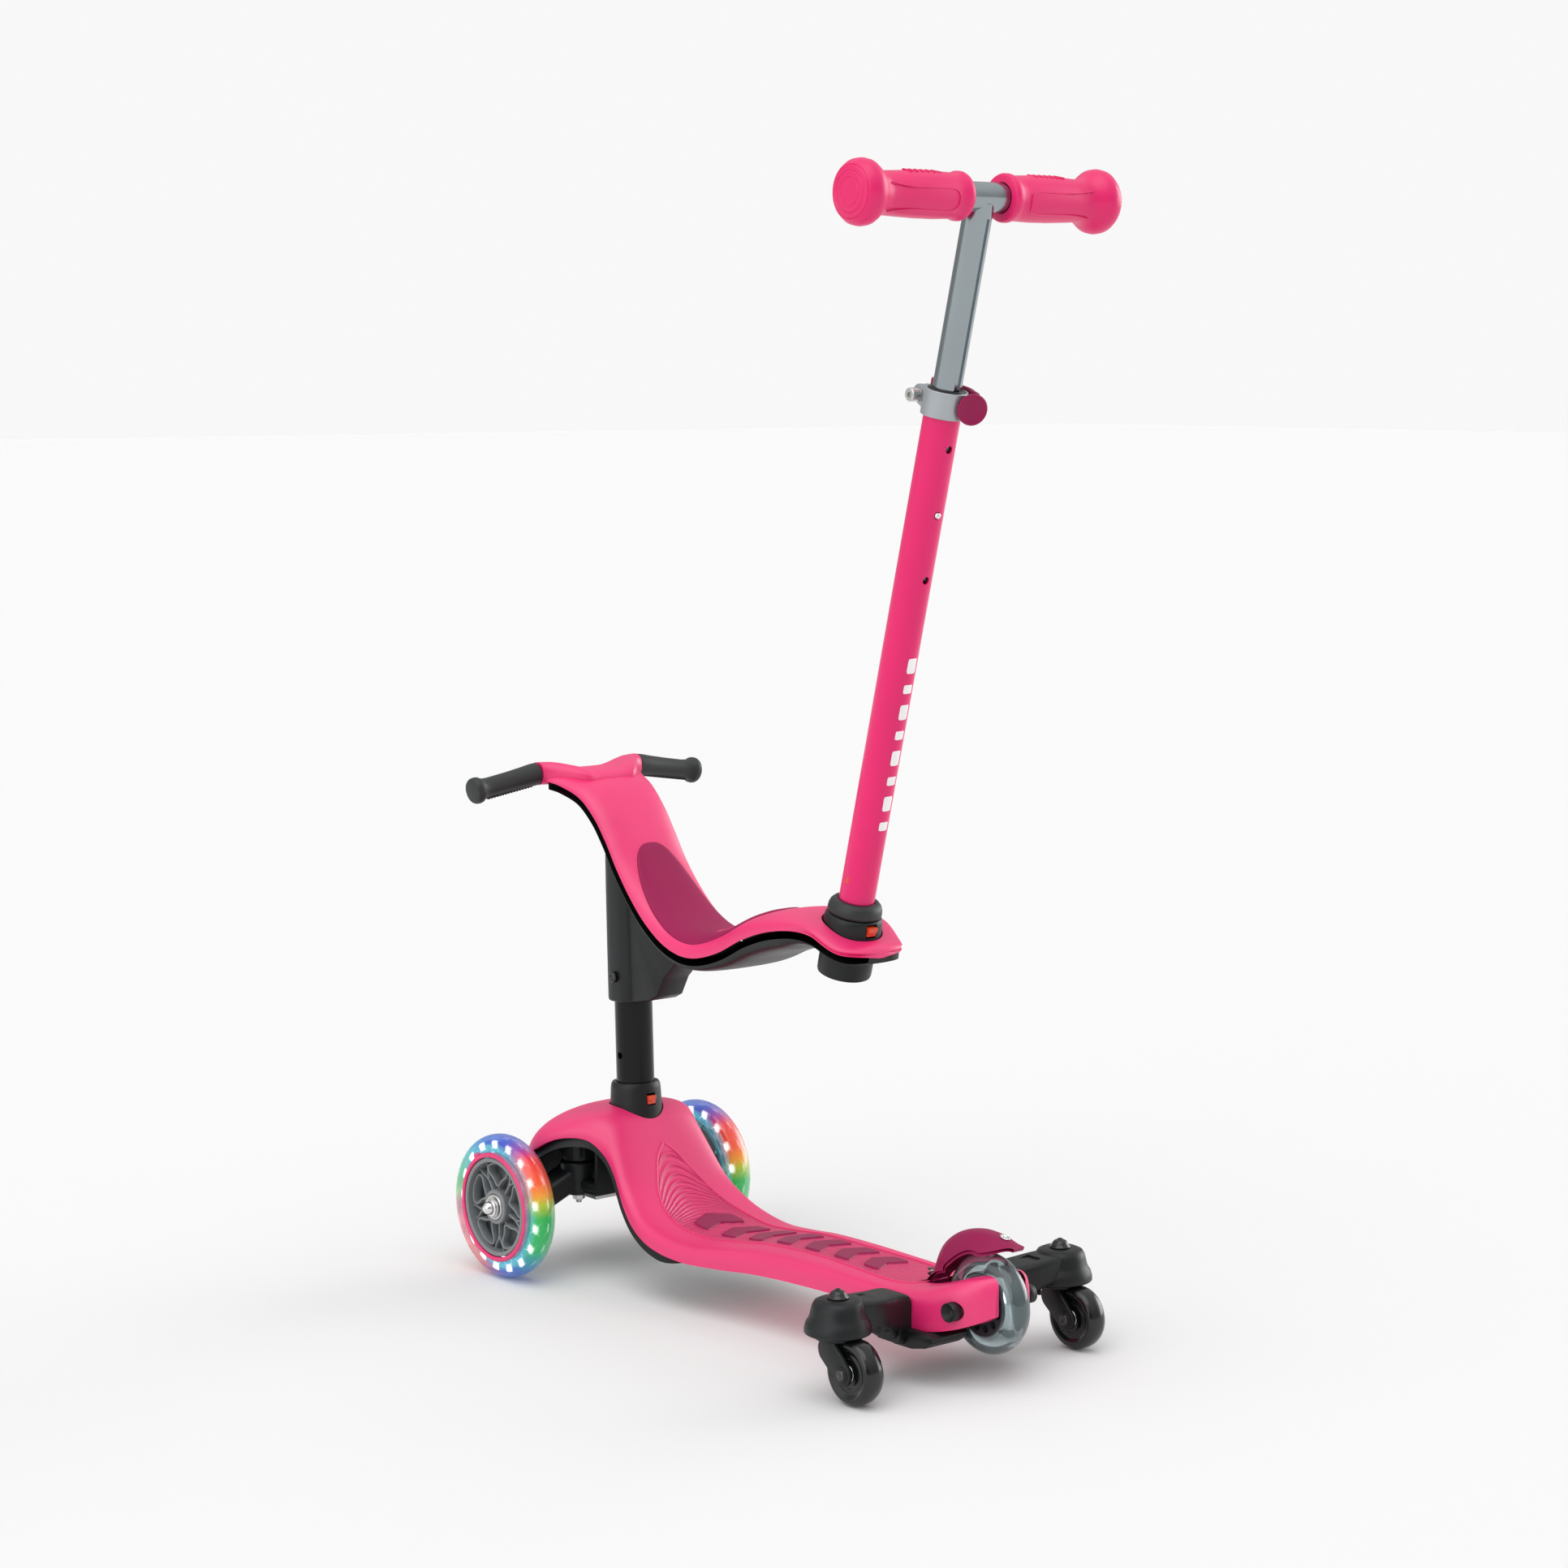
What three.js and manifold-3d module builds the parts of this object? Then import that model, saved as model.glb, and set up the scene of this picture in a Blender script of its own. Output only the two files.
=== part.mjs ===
// A toddler's convertible kick scooter: a low moulded deck on two light-up front wheels, one rear
// wheel and a bolted-on caster bar, a lift-out seat with its own small handlebar, and a push
// T-bar that plugs into the back of the seat.
// Millimetres, +X to the rider's right, +Y forward, +Z up. Inside the group, Y is counted from
// the front axle; the group then moves forward so that the origin is the middle of the footprint.

import * as THREE from 'three';
import { mergeVertices } from 'three/addons/utils/BufferGeometryUtils.js';
import Module from 'manifold-3d';

const wasm = await Module();
wasm.setup();

// ---- Driving dimensions -------------------------------------------------------------------

const FRONT_AXLE_Y = 230;            // front axle ahead of the footprint's centre
const FRONT_WHEEL_RADIUS = 60.5;
const FRONT_TRACK = 104.6;           // wheel centre from the middle plane
const FRONT_TYRE_HALF_WIDTH = 13.3;
const RIM_RADIUS = 41.8;
const TRIM_RADIUS = 45.9;

const KINGPIN_X = 38;
const KINGPIN_Y = -14;
const TIE_PIN_REACH = 27;            // tie-rod pin behind its kingpin

const REAR_AXLE_Y = -481.6;
const REAR_AXLE_Z = 61.1;
const REAR_WHEEL_RADIUS = 39;
const REAR_WHEEL_HALF_WIDTH = 10.3;

const CASTER_X = 114.6;
const CASTER_Y = -440;
const CASTER_TRAIL = 19.6;
const CASTER_RADIUS = 24.8;
const CASTER_HALF_WIDTH = 9;

const POST_FOOT_Y = -49.9;           // where the seat post's axis meets the ground
const POST_LEAN = 0.034;             // forward lean, radians
const POST_RADIUS = 16;
const POST_BOTTOM = 73;
const POST_TOP = 298;
const SLEEVE_BOTTOM = 229.7;
const SEAT_DROP = 67.5;              // from the upper seat height to the lower
const SCREW_AT = 251;

const MAST_FOOT_Y = -239.8;          // where the T-bar's axis meets the ground
const MAST_LEAN = 0.2484;            // backward lean, radians
const MAST_RADIUS = 14.1;
const STEM_RADIUS = 11;
const MAST_BOTTOM = 297;
const MAST_TOP = 764;
const STEM_BOTTOM = 610;
const CROSSBAR_AT = 910;             // along the mast's axis
const HOLE_PITCH = 50.5;
const SNAP_AT = 673.5;
const CLAMP_AT = 756.5;
const COLLAR_TOP = 361;              // rear collar, along the mast's axis

const GAP = 0.4;                     // clearance between touching pieces
const ROUND = 24;                    // segments round a wheel
const SMALL_ROUND = 12;

// ---- Colours ------------------------------------------------------------------------------

const PINK = 0xec5785;
const MAGENTA = 0xb02860;
const BLACK = 0x2f3233;
const GREY = 0x76797c;
const STEEL = 0xb9bec2;
const RED = 0xd8402a;

function plastic(color, roughness = 0.45) {
  return new THREE.MeshStandardMaterial({ color, roughness, metalness: 0 });
}

function metal(color, roughness = 0.35) {
  return new THREE.MeshStandardMaterial({ color, roughness, metalness: 0.9 });
}

// ---- Solid helpers ------------------------------------------------------------------------

// Six times the signed volume, to see which way a closed mesh faces.
function signedVolume(position, index) {
  const a = new THREE.Vector3();
  const b = new THREE.Vector3();
  const c = new THREE.Vector3();
  let sum = 0;
  for (let i = 0; i < index.length; i += 3) {
    a.fromBufferAttribute(position, index[i]);
    b.fromBufferAttribute(position, index[i + 1]);
    c.fromBufferAttribute(position, index[i + 2]);
    sum += a.dot(b.cross(c));
  }
  return sum;
}

// Merges shared vertices, drops triangles that collapsed at a pole, and turns faces outward.
function welded(geometry) {
  const bare = geometry.clone();
  bare.deleteAttribute('normal');
  bare.deleteAttribute('uv');
  bare.clearGroups();
  const merged = mergeVertices(bare, 1e-3);
  const all = Array.from(merged.index.array);
  const kept = [];
  for (let i = 0; i < all.length; i += 3) {
    const [a, b, c] = all.slice(i, i + 3);
    if (a !== b && b !== c && a !== c) kept.push(a, b, c);
  }
  if (signedVolume(merged.attributes.position, kept) < 0) {
    for (let i = 0; i < kept.length; i += 3) {
      [kept[i + 1], kept[i + 2]] = [kept[i + 2], kept[i + 1]];
    }
  }
  merged.setIndex(kept);
  return merged;
}

function solid(geometry) {
  const closed = welded(geometry);
  return new wasm.Manifold(new wasm.Mesh({
    numProp: 3,
    vertProperties: Float32Array.from(closed.attributes.position.array),
    triVerts: Uint32Array.from(closed.index.array),
  }));
}

function surface(manifold) {
  const mesh = manifold.getMesh();
  const geometry = new THREE.BufferGeometry();
  geometry.setAttribute('position', new THREE.BufferAttribute(mesh.vertProperties, 3));
  geometry.setIndex(new THREE.BufferAttribute(mesh.triVerts, 1));
  return geometry;
}

function joined(first, ...others) {
  return surface(others.reduce((sum, other) => sum.add(solid(other)), solid(first)));
}

function cut(base, ...tools) {
  return surface(tools.reduce((rest, tool) => rest.subtract(solid(tool)), solid(base)));
}

function at(geometry, x, y, z) {
  return geometry.clone().translate(x, y, z);
}

function box(xMin, xMax, yMin, yMax, zMin, zMax) {
  const geometry = new THREE.BoxGeometry(xMax - xMin, yMax - yMin, zMax - zMin);
  return geometry.translate((xMin + xMax) / 2, (yMin + yMax) / 2, (zMin + zMax) / 2);
}

// A turned piece about Z from [radius, height] points. A profile that doesn't start and end on
// the axis is closed into a ring.
function turned(profile, segments = ROUND) {
  const points = profile.map(([radius, height]) => new THREE.Vector2(radius, height));
  const open = points[0].x > 0 || points[points.length - 1].x > 0;
  if (open) points.push(points[0].clone());
  return new THREE.LatheGeometry(points, segments).rotateX(Math.PI / 2);
}

function turnedAlongX(profile, segments = ROUND) {
  return turned(profile, segments).rotateY(Math.PI / 2);
}

function rod(radius, zMin, zMax, segments = SMALL_ROUND) {
  return turned([[0, zMin], [radius, zMin], [radius, zMax], [0, zMax]], segments);
}

function rodAlongX(radius, xMin, xMax, segments = SMALL_ROUND) {
  return rod(radius, xMin, xMax, segments).rotateY(Math.PI / 2);
}

function rodAlongY(radius, yMin, yMax, segments = SMALL_ROUND) {
  return rod(radius, yMin, yMax, segments).rotateX(-Math.PI / 2);
}

// A closed skin shaped from a gridded block: place(u, v, w) takes -1..1 along each side.
function moulded(uSteps, vSteps, wSteps, place) {
  const geometry = new THREE.BoxGeometry(2, 2, 2, uSteps, vSteps, wSteps);
  const position = geometry.attributes.position;
  for (let i = 0; i < position.count; i++) {
    const p = place(position.getX(i), position.getY(i), position.getZ(i));
    position.setXYZ(i, p.x, p.y, p.z);
  }
  return welded(geometry);
}

// A smooth reading of hand-set rows [key, value, value, ...] at any key between them.
function smoothRows(rows) {
  return (key) => {
    const last = rows.length - 2;
    let i = 0;
    while (i < last && (key - rows[i + 1][0]) * (rows[1][0] - rows[0][0]) > 0) i++;
    const [a, b] = [rows[i], rows[i + 1]];
    const before = rows[Math.max(i - 1, 0)];
    const after = rows[Math.min(i + 2, rows.length - 1)];
    const span = b[0] - a[0];
    const t = THREE.MathUtils.clamp((key - a[0]) / span, 0, 1);
    return a.slice(1).map((value, k) => {
      const slopeA = (b[k + 1] - before[k + 1]) / (b[0] - before[0]) * span;
      const slopeB = (after[k + 1] - value) / (after[0] - a[0]) * span;
      const t2 = t * t;
      const t3 = t2 * t;
      return value * (2 * t3 - 3 * t2 + 1) + slopeA * (t3 - 2 * t2 + t)
        + b[k + 1] * (3 * t2 - 2 * t3) + slopeB * (t3 - t2);
    });
  };
}

const scooter = new THREE.Group();
scooter.position.y = FRONT_AXLE_Y;

const post = new THREE.Group();
post.position.y = POST_FOOT_Y;
post.rotation.x = -POST_LEAN;
scooter.add(post);

const mast = new THREE.Group();
mast.position.y = MAST_FOOT_Y;
mast.rotation.x = MAST_LEAN;
scooter.add(mast);

function part(parent, name, geometry, material) {
  const mesh = new THREE.Mesh(welded(geometry), material);
  mesh.name = name;
  parent.add(mesh);
}

function onPost(geometry) {
  return geometry.clone().rotateX(-POST_LEAN).translate(0, POST_FOOT_Y, 0);
}

function onMast(geometry) {
  return geometry.clone().rotateX(MAST_LEAN).translate(0, MAST_FOOT_Y, 0);
}

const SIDES = [['left', -1], ['right', 1]];

// ---- Deck ---------------------------------------------------------------------------------

// Stations from nose to tail: [y, half width, rim height, crown height, squareness, hollowness].
// The hood's wings are widest over the front axle; the waist is behind them; the tail rises
// and narrows round the rear wheel.
const DECK_SKIN = 4;
const DECK_NOSE = 46;
const DECK_TAIL = -506;
const deckStation = smoothRows([
  [DECK_NOSE, 26, 79, 87, 2.2, 1],
  [36, 52, 83, 108, 2.2, 1],
  [20, 67, 92, 125, 2.2, 1],
  [0, 75, 103, 136, 2.2, 1],
  [-25, 69, 116, 141, 2.2, 1],
  [-50, 57, 118, 142, 2.6, 1],
  [-66, 51, 108, 134, 3, 1],
  [-80, 51, 94, 116, 3.6, 1],
  [-100, 55.5, 69, 88, 4, 1],
  [-120, 60, 55, 71, 4.4, 1],
  [-145, 62, 45.5, 61.5, 4.6, 1],
  [-180, 60.5, 41, 57, 4.8, 1],
  [-220, 54.5, 42, 60.5, 5, 1],
  [-260, 48.5, 45, 65.5, 5, 1],
  [-310, 45, 47, 67.5, 5, 1],
  [-370, 44, 48, 67, 5, 1],
  [-405, 44, 46, 66.5, 5, 0],
  [-435, 44, 41, 69, 5, 0],
  [-460, 43, 42, 76, 5, 0],
  [-482, 37, 47, 84, 5, 0],
  [-497, 27, 53, 88, 4, 0],
  [DECK_TAIL, 17, 58, 89, 3, 0],
]);

// Where the deck's skin is ruled across, closest together where the hood bends.
const deckStops = [
  DECK_NOSE, 41, 34, 24, 12, 0, -14, -30, -46, -58, -67, -76, -86, -96, -108, -122, -140, -162,
  -190, -225, -265, -315, -370, -405, -432, -458, -482, -497, DECK_TAIL,
];

function stopAt(stops, v) {
  return stops[Math.round((v + 1) / 2 * (stops.length - 1))];
}

// A point on the deck's section at y; across runs -1..1 from rim to rim.
function deckSkin(across, y) {
  const [halfWidth, rim, crown, squareness] = deckStation(y);
  const angle = across * Math.PI / 2;
  const spread = Math.abs(Math.sin(angle)) ** (2 / squareness);
  const lift = Math.max(Math.cos(angle), 0) ** (2 / squareness);
  return new THREE.Vector3(Math.sign(across) * spread * halfWidth, y, rim + (crown - rim) * lift);
}

// The same point sunk under the skin; the tail is solid, so there it drops to the rim's height.
function deckPoint(across, y, depth) {
  const [halfWidth, rim, , , hollow] = deckStation(y);
  const skin = deckSkin(across, y);
  return new THREE.Vector3(
    skin.x * (1 - depth / halfWidth),
    y,
    rim + Math.max(skin.z - depth - rim, 0) * hollow,
  );
}

function deckShell() {
  const shell = moulded(8, deckStops.length - 1, 1, (u, v, w) => {
    const y = stopAt(deckStops, v);
    return w < 0 ? deckPoint(u, y, DECK_SKIN) : deckSkin(u, y);
  });
  const collarHole = onPost(rod(23, 60, 200, 24));
  const slotHalf = 13.6;
  const wheelSlot = box(-slotHalf, slotHalf, -600, -418, 20, 120);
  const recessRadius = 7.2;
  const recesses = SIDES.map(([, side]) => at(
    rodAlongX(recessRadius, side < 0 ? -60 : 30, side < 0 ? -30 : 60), 0, REAR_AXLE_Y, REAR_AXLE_Z,
  ));
  const bore = at(rodAlongX(4.4, -50, 50), 0, REAR_AXLE_Y, REAR_AXLE_Z);
  return cut(shell, collarHole, wheelSlot, ...recesses, bore);
}

// The black under-tray nests inside the shell and shows as a band round the wheel arches.
function deckLiner() {
  const skin = 3;
  const drop = 6.5;
  const skirtFrom = 0.9;
  const stops = deckStops.filter((y) => y < 30 && y > -170);
  const rear = stops[stops.length - 1];
  const liner = moulded(10, stops.length - 1, 1, (u, v, w) => {
    const y = stopAt(stops, v);
    const across = THREE.MathUtils.clamp(u / skirtFrom, -1, 1);
    const depth = DECK_SKIN + 1 + (w < 0 ? skin : 0);
    const p = deckPoint(across, y, depth);
    const fade = THREE.MathUtils.smoothstep(y, rear, -110);
    p.z -= Math.max(Math.abs(u) - skirtFrom, 0) / (1 - skirtFrom) * drop * fade;
    p.z -= 0.3;
    return p;
  });
  return cut(liner, onPost(rod(23, 60, 200, 24)));
}

// The steering carrier under the hood: the post's socket, and a beam to the two kingpin bosses.
function frontYoke() {
  const socket = onPost(rod(21, 71, 122, 20));
  const beam = box(-46, 46, -34, 2, 97, 110);
  const bosses = SIDES.map(([, side]) => at(rod(15, 97, 110, 20), side * KINGPIN_X, KINGPIN_Y, 0));
  const keel = box(-14, 14, -96, -40, 76, 84);
  const body = joined(socket, beam, ...bosses, keel);
  const pinBores = SIDES.map(([, side]) => at(rod(4.3, 90, 120), side * KINGPIN_X, KINGPIN_Y, 0));
  return cut(body, onPost(rod(POST_RADIUS + GAP, 40, 200, 24)), ...pinBores);
}

function deckCollar() {
  const collar = turned([
    [POST_RADIUS + GAP, 123], [22.4, 123], [22, 139], [21, 156], [19.4, 160.5],
    [POST_RADIUS + GAP, 160.5],
  ], 20);
  return cut(collar, box(-4.6, 4.6, -30, -10, 141.5, 152.5));
}

part(scooter, 'deck_shell', deckShell(), plastic(PINK, 0.4));
part(scooter, 'deck_liner', deckLiner(), plastic(BLACK, 0.5));
part(scooter, 'front_yoke', frontYoke(), plastic(BLACK, 0.5));
part(post, 'deck_collar', deckCollar(), plastic(BLACK, 0.45));
part(post, 'deck_button', box(-4.2, 4.2, -23.6, -19.8, 142, 152), plastic(RED, 0.4));

// ---- Steering -----------------------------------------------------------------------------

// A kingpin is a shouldered bolt with its nut, hanging in a boss of the carrier.
function kingpin(side) {
  const pin = turned([
    [0, 56], [2.6, 56], [2.6, 58], [5, 58], [5, 62.5], [4, 62.5], [4, 111], [6.4, 111],
    [6.4, 115], [0, 115],
  ], SMALL_ROUND);
  return at(pin, side * KINGPIN_X, KINGPIN_Y, 0);
}

// The centring spring is coiled round the kingpin between the boss and the knuckle.
function kingpinSpring(side) {
  const spring = turned([[6.4, 92.6], [9.4, 92.6], [9.4, 96.4], [6.4, 96.4]], 16);
  return at(spring, side * KINGPIN_X, KINGPIN_Y, 0);
}

// The knuckle is a stepped barrel on the kingpin with an arm out to the wheel's axle and a
// short lug behind for the tie rod.
function knuckle(side) {
  const barrel = at(turned([
    [4.4, 64], [15, 64], [15, 78], [18.5, 80], [18.5, 92], [4.4, 92],
  ], 16), side * KINGPIN_X, KINGPIN_Y, 0);
  const armOuter = 86;
  const arm = moulded(4, 1, 1, (u, v, w) => {
    const t = (u + 1) / 2;
    const x = THREE.MathUtils.lerp(KINGPIN_X + 12, armOuter, t);
    const middleY = THREE.MathUtils.lerp(KINGPIN_Y + 2, 0, t);
    const middleZ = THREE.MathUtils.lerp(80, REAR_AXLE_Z, Math.min(t * 1.4, 1));
    return new THREE.Vector3(side * x, middleY + v * 13, middleZ + w * (12 - 2 * t));
  });
  const lugX = side * KINGPIN_X;
  const lug = box(lugX - 7, lugX + 7, KINGPIN_Y - TIE_PIN_REACH - 8, KINGPIN_Y - 8, 70, 77);
  const axleBore = at(rodAlongX(4.3, side < 0 ? -95 : 66, side < 0 ? -66 : 95), 0, 0, FRONT_WHEEL_RADIUS);
  const pinBore = at(rod(4.4, 50, 110), side * KINGPIN_X, KINGPIN_Y, 0);
  const tieBore = at(rod(3.4, 60, 90), side * KINGPIN_X, KINGPIN_Y - TIE_PIN_REACH, 0);
  return cut(joined(barrel, arm, lug), axleBore, pinBore, tieBore);
}

// One pressed plate joins the two knuckles. Its left pin is the hinge; the right pin stands in
// an oversize hole, where the closed linkage is opened.
function tieRod() {
  const pinY = KINGPIN_Y - TIE_PIN_REACH;
  const plate = box(-KINGPIN_X - 8, KINGPIN_X + 8, pinY - 8, pinY + 8, 65, 68.2);
  const pins = SIDES.map(([, side]) => at(rod(2.8, 66, 79), side * KINGPIN_X, pinY, 0));
  return joined(plate, ...pins);
}

// The wheel's fixed axle bolt, with a domed nut outside the bearing.
function frontAxle(side) {
  const inner = 68;
  const face = FRONT_TRACK + 12;
  const bolt = turnedAlongX([
    [0, inner], [4, inner], [4, face], [7.5, face], [7.5, face + 3], [5.6, face + 7], [0, face + 9.4],
  ], 12);
  if (side < 0) bolt.rotateZ(Math.PI);
  return at(bolt, 0, 0, FRONT_WHEEL_RADIUS);
}

for (const [name, side] of SIDES) {
  part(scooter, `kingpin_${name}`, kingpin(side), metal(STEEL));
  part(scooter, `kingpin_spring_${name}`, kingpinSpring(side), metal(GREY));
  part(scooter, `knuckle_${name}`, knuckle(side), plastic(BLACK, 0.5));
  part(scooter, `front_axle_${name}`, frontAxle(side), metal(STEEL, 0.2));
}
part(scooter, 'tie_rod', tieRod(), metal(STEEL));

// ---- Front wheels -------------------------------------------------------------------------

function atFrontWheel(geometry, side) {
  const turnedOut = side < 0 ? geometry.clone().rotateZ(Math.PI) : geometry.clone();
  return turnedOut.translate(side * FRONT_TRACK, 0, FRONT_WHEEL_RADIUS);
}

// A clear cast tyre with a round crown; the light ring sits in a groove of its bore.
function frontTyre() {
  const crown = [];
  const crownSteps = 4;
  for (let i = 0; i <= crownSteps; i++) {
    const angle = -Math.PI / 2 + i / crownSteps * Math.PI;
    crown.push([
      FRONT_WHEEL_RADIUS - 9.5 + 9.5 * Math.cos(angle),
      FRONT_TYRE_HALF_WIDTH * Math.sin(angle),
    ]);
  }
  const seat = TRIM_RADIUS - 3.4;
  return turnedAlongX([
    [seat, -9], ...crown, [TRIM_RADIUS + 0.5, 11], [TRIM_RADIUS + 0.5, 7.5], [seat, 7.5],
    [seat, 4], [49, 4], [49, -4], [seat, -4],
  ]);
}

function lightRing() {
  return turnedAlongX([[45.2, -3.2], [48.4, -3.2], [48.4, 3.2], [45.2, 3.2]]);
}

// The moulded rim: a barrel, a web, a hub and five windows between its spokes.
function frontRim() {
  const rim = turnedAlongX([
    [8, -2], [11.3, -2], [11.3, -9], [14, -9], [14, -4], [38, -4], [38, -10], [RIM_RADIUS, -10],
    [RIM_RADIUS, 11.5], [37.5, 11.5], [37.5, 4], [14, 4], [14, 11], [11.3, 11], [11.3, 2], [8, 2],
  ]);
  const windows = 5;
  const tools = [];
  for (let i = 0; i < windows; i++) {
    const window = moulded(1, 2, 1, (u, v, w) => {
      const angle = v * 0.42 + i / windows * Math.PI * 2;
      const radius = 26.5 + w * 9;
      return new THREE.Vector3(u * 8, radius * Math.sin(angle), radius * Math.cos(angle));
    });
    tools.push(window);
  }
  return cut(rim, ...tools);
}

function trimRing() {
  const bore = RIM_RADIUS + GAP;
  return turnedAlongX([[bore, 8], [TRIM_RADIUS, 8], [TRIM_RADIUS, 12.2], [bore, 12.6]]);
}

// A sealed ball bearing stands in the hub.
function wheelBearing(bore, outer, from, to) {
  return turnedAlongX([[bore, from], [outer, from], [outer, to], [bore, to]], 16);
}

for (const [name, side] of SIDES) {
  part(scooter, `front_tyre_${name}`, atFrontWheel(frontTyre(), side), plastic(0x69c8d8, 0.15));
  part(scooter, `light_ring_${name}`, atFrontWheel(lightRing(), side), plastic(0xf4f6ff, 0.3));
  part(scooter, `front_rim_${name}`, atFrontWheel(frontRim(), side), plastic(GREY, 0.5));
  part(scooter, `rim_trim_${name}`, atFrontWheel(trimRing(), side), plastic(PINK, 0.4));
  const bearing = wheelBearing(4.35, 10.9, 2.5, 10.5);
  part(scooter, `front_bearing_${name}`, atFrontWheel(bearing, side), metal(STEEL, 0.25));
}

// ---- Rear wheel and brake -----------------------------------------------------------------

function atRearAxle(geometry) {
  return at(geometry, 0, REAR_AXLE_Y, REAR_AXLE_Z);
}

function rearTyre() {
  const crown = [];
  const crownSteps = 4;
  for (let i = 0; i <= crownSteps; i++) {
    const angle = -Math.PI / 2 + i / crownSteps * Math.PI;
    crown.push([
      REAR_WHEEL_RADIUS - 9 + 9 * Math.cos(angle),
      REAR_WHEEL_HALF_WIDTH * Math.sin(angle),
    ]);
  }
  return turnedAlongX([[24.4, -9], ...crown, [24.4, 9]]);
}

function rearCore() {
  const pockets = 6;
  const tools = [];
  for (let i = 0; i < pockets; i++) {
    const angle = (i + 0.5) / pockets * Math.PI * 2;
    tools.push(at(rodAlongX(4, 2, 20, 10), 0, 17.6 * Math.sin(angle), 17.6 * Math.cos(angle)));
  }
  const core = turnedAlongX([
    [11.3, -9.3], [24, -9.3], [24, 9.3], [11.3, 9.3], [11.3, 2], [8, 2], [8, -2], [11.3, -2],
  ]);
  return cut(core, ...tools);
}

// The axle bolt runs through both arms of the deck, its head and nut sunk in their recesses.
function rearAxle() {
  return atRearAxle(turnedAlongX([
    [0, -34], [6, -34], [6, -30.5], [4, -30.5], [4, 30.5], [6, 30.5], [6, 34], [0, 34],
  ], 12));
}

// The mudguard brake: a springy moulded arch, pressed down onto the wheel with the heel.
const FENDER_HINGE_Y = -422.5;
const FENDER_HINGE_Z = 64;
const fenderLine = new THREE.SplineCurve([
  [-422.5, 59], [-423.5, 74], [-428, 89], [-438, 102], [-453, 111.5],
  [-472, 116.5], [-490, 116], [-503, 113], [-513.5, 109.5],
].map(([y, z]) => new THREE.Vector2(y, z)));

function fender() {
  const thick = 3;
  return moulded(6, 16, 1, (u, v, w) => {
    const t = (v + 1) / 2;
    const p = fenderLine.getPoint(t);
    const tangent = fenderLine.getTangent(t);
    const rise = THREE.MathUtils.smoothstep(t, 0.08, 0.34);
    const taper = THREE.MathUtils.smoothstep(t, 0.72, 1);
    const halfWidth = 11 + 6.5 * rise - 12 * taper;
    const curl = 9 * rise * (1 - taper) * Math.abs(u) ** 2.4;
    const depth = (w < 0 ? thick : 0) + curl;
    return new THREE.Vector3(u * halfWidth, p.x - tangent.y * depth, p.y + tangent.x * depth);
  });
}

// A folded return spring stands between the slot's end wall and the mudguard's foot.
function fenderSpring() {
  return box(-6, 6, -422, -418.4, 67, 77);
}

part(scooter, 'rear_tyre', atRearAxle(rearTyre()), plastic(0xa9b8bd, 0.15));
part(scooter, 'rear_core', atRearAxle(rearCore()), plastic(0x5d6468, 0.4));
for (const [name, side] of SIDES) {
  const bearing = wheelBearing(4.35, 10.9, 2.4, 9.3);
  const turnedOut = side < 0 ? bearing.rotateZ(Math.PI) : bearing;
  part(scooter, `rear_bearing_${name}`, atRearAxle(turnedOut), metal(STEEL, 0.25));
}
part(scooter, 'rear_axle', rearAxle(), metal(STEEL));
part(scooter, 'brake_fender', fender(), plastic(MAGENTA, 0.4));
part(scooter, 'fender_spring', fenderSpring(), metal(STEEL));

// ---- Caster bar and casters ---------------------------------------------------------------

const HOUSING_BOTTOM = 50.6;
const HOUSING_TOP = 76;

// A moulded cross bar bolted under the tail: a cradle below the deck, a cheek up each side,
// an arm out to each side and a round swivel housing at its end.
function casterBar() {
  const cradle = box(-49, 49, -472, -404, 27, 38);
  const pieces = [];
  for (const [, side] of SIDES) {
    const cheekIn = 44.8;
    const cheek = moulded(1, 6, 1, (u, v, w) => {
      const y = THREE.MathUtils.lerp(-456, -404, (v + 1) / 2);
      const top = 58 + 10 * Math.sqrt(Math.max(1 - ((y + 425) / 31.5) ** 2, 0));
      return new THREE.Vector3(
        side * (cheekIn + (u + 1) * 2.6), y, THREE.MathUtils.lerp(27, top, (w + 1) / 2),
      );
    });
    const arm = moulded(4, 4, 1, (u, v, w) => {
      const x = THREE.MathUtils.lerp(cheekIn + 2, CASTER_X - 6, (u + 1) / 2);
      const reach = (u + 1) / 2;
      const top = 66 + 7 * reach - 3 * v * v;
      const bottom = THREE.MathUtils.lerp(30, HOUSING_BOTTOM + 1.4, Math.min(reach * 2.2, 1));
      return new THREE.Vector3(side * x, CASTER_Y + 4 + v * 17, w < 0 ? bottom : top);
    });
    const housing = at(turned([
      [0, 71], [7, 71], [7, HOUSING_BOTTOM + 1.4], [19, HOUSING_BOTTOM + 1.4], [21, HOUSING_BOTTOM],
      [24, HOUSING_BOTTOM], [22.5, 58], [19.5, 66], [18, 72.5], [14, HOUSING_TOP], [0, HOUSING_TOP],
    ], 20), side * CASTER_X, CASTER_Y, 0);
    const socket = at(rod(7, 40, 71, 20), side * CASTER_X, CASTER_Y, 0);
    pieces.push(surface(solid(joined(cheek, arm)).subtract(solid(socket)).add(solid(housing))));
  }
  const slot = box(-14, 14, -600, -434, 20, 45);
  const slotted = cut(joined(cradle, ...pieces), slot);
  const wells = SIDES.map(([, side]) => at(rod(6.6, 40, 70.6, 20), side * CASTER_X, CASTER_Y, 0));
  return cut(slotted, ...wells);
}

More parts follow.
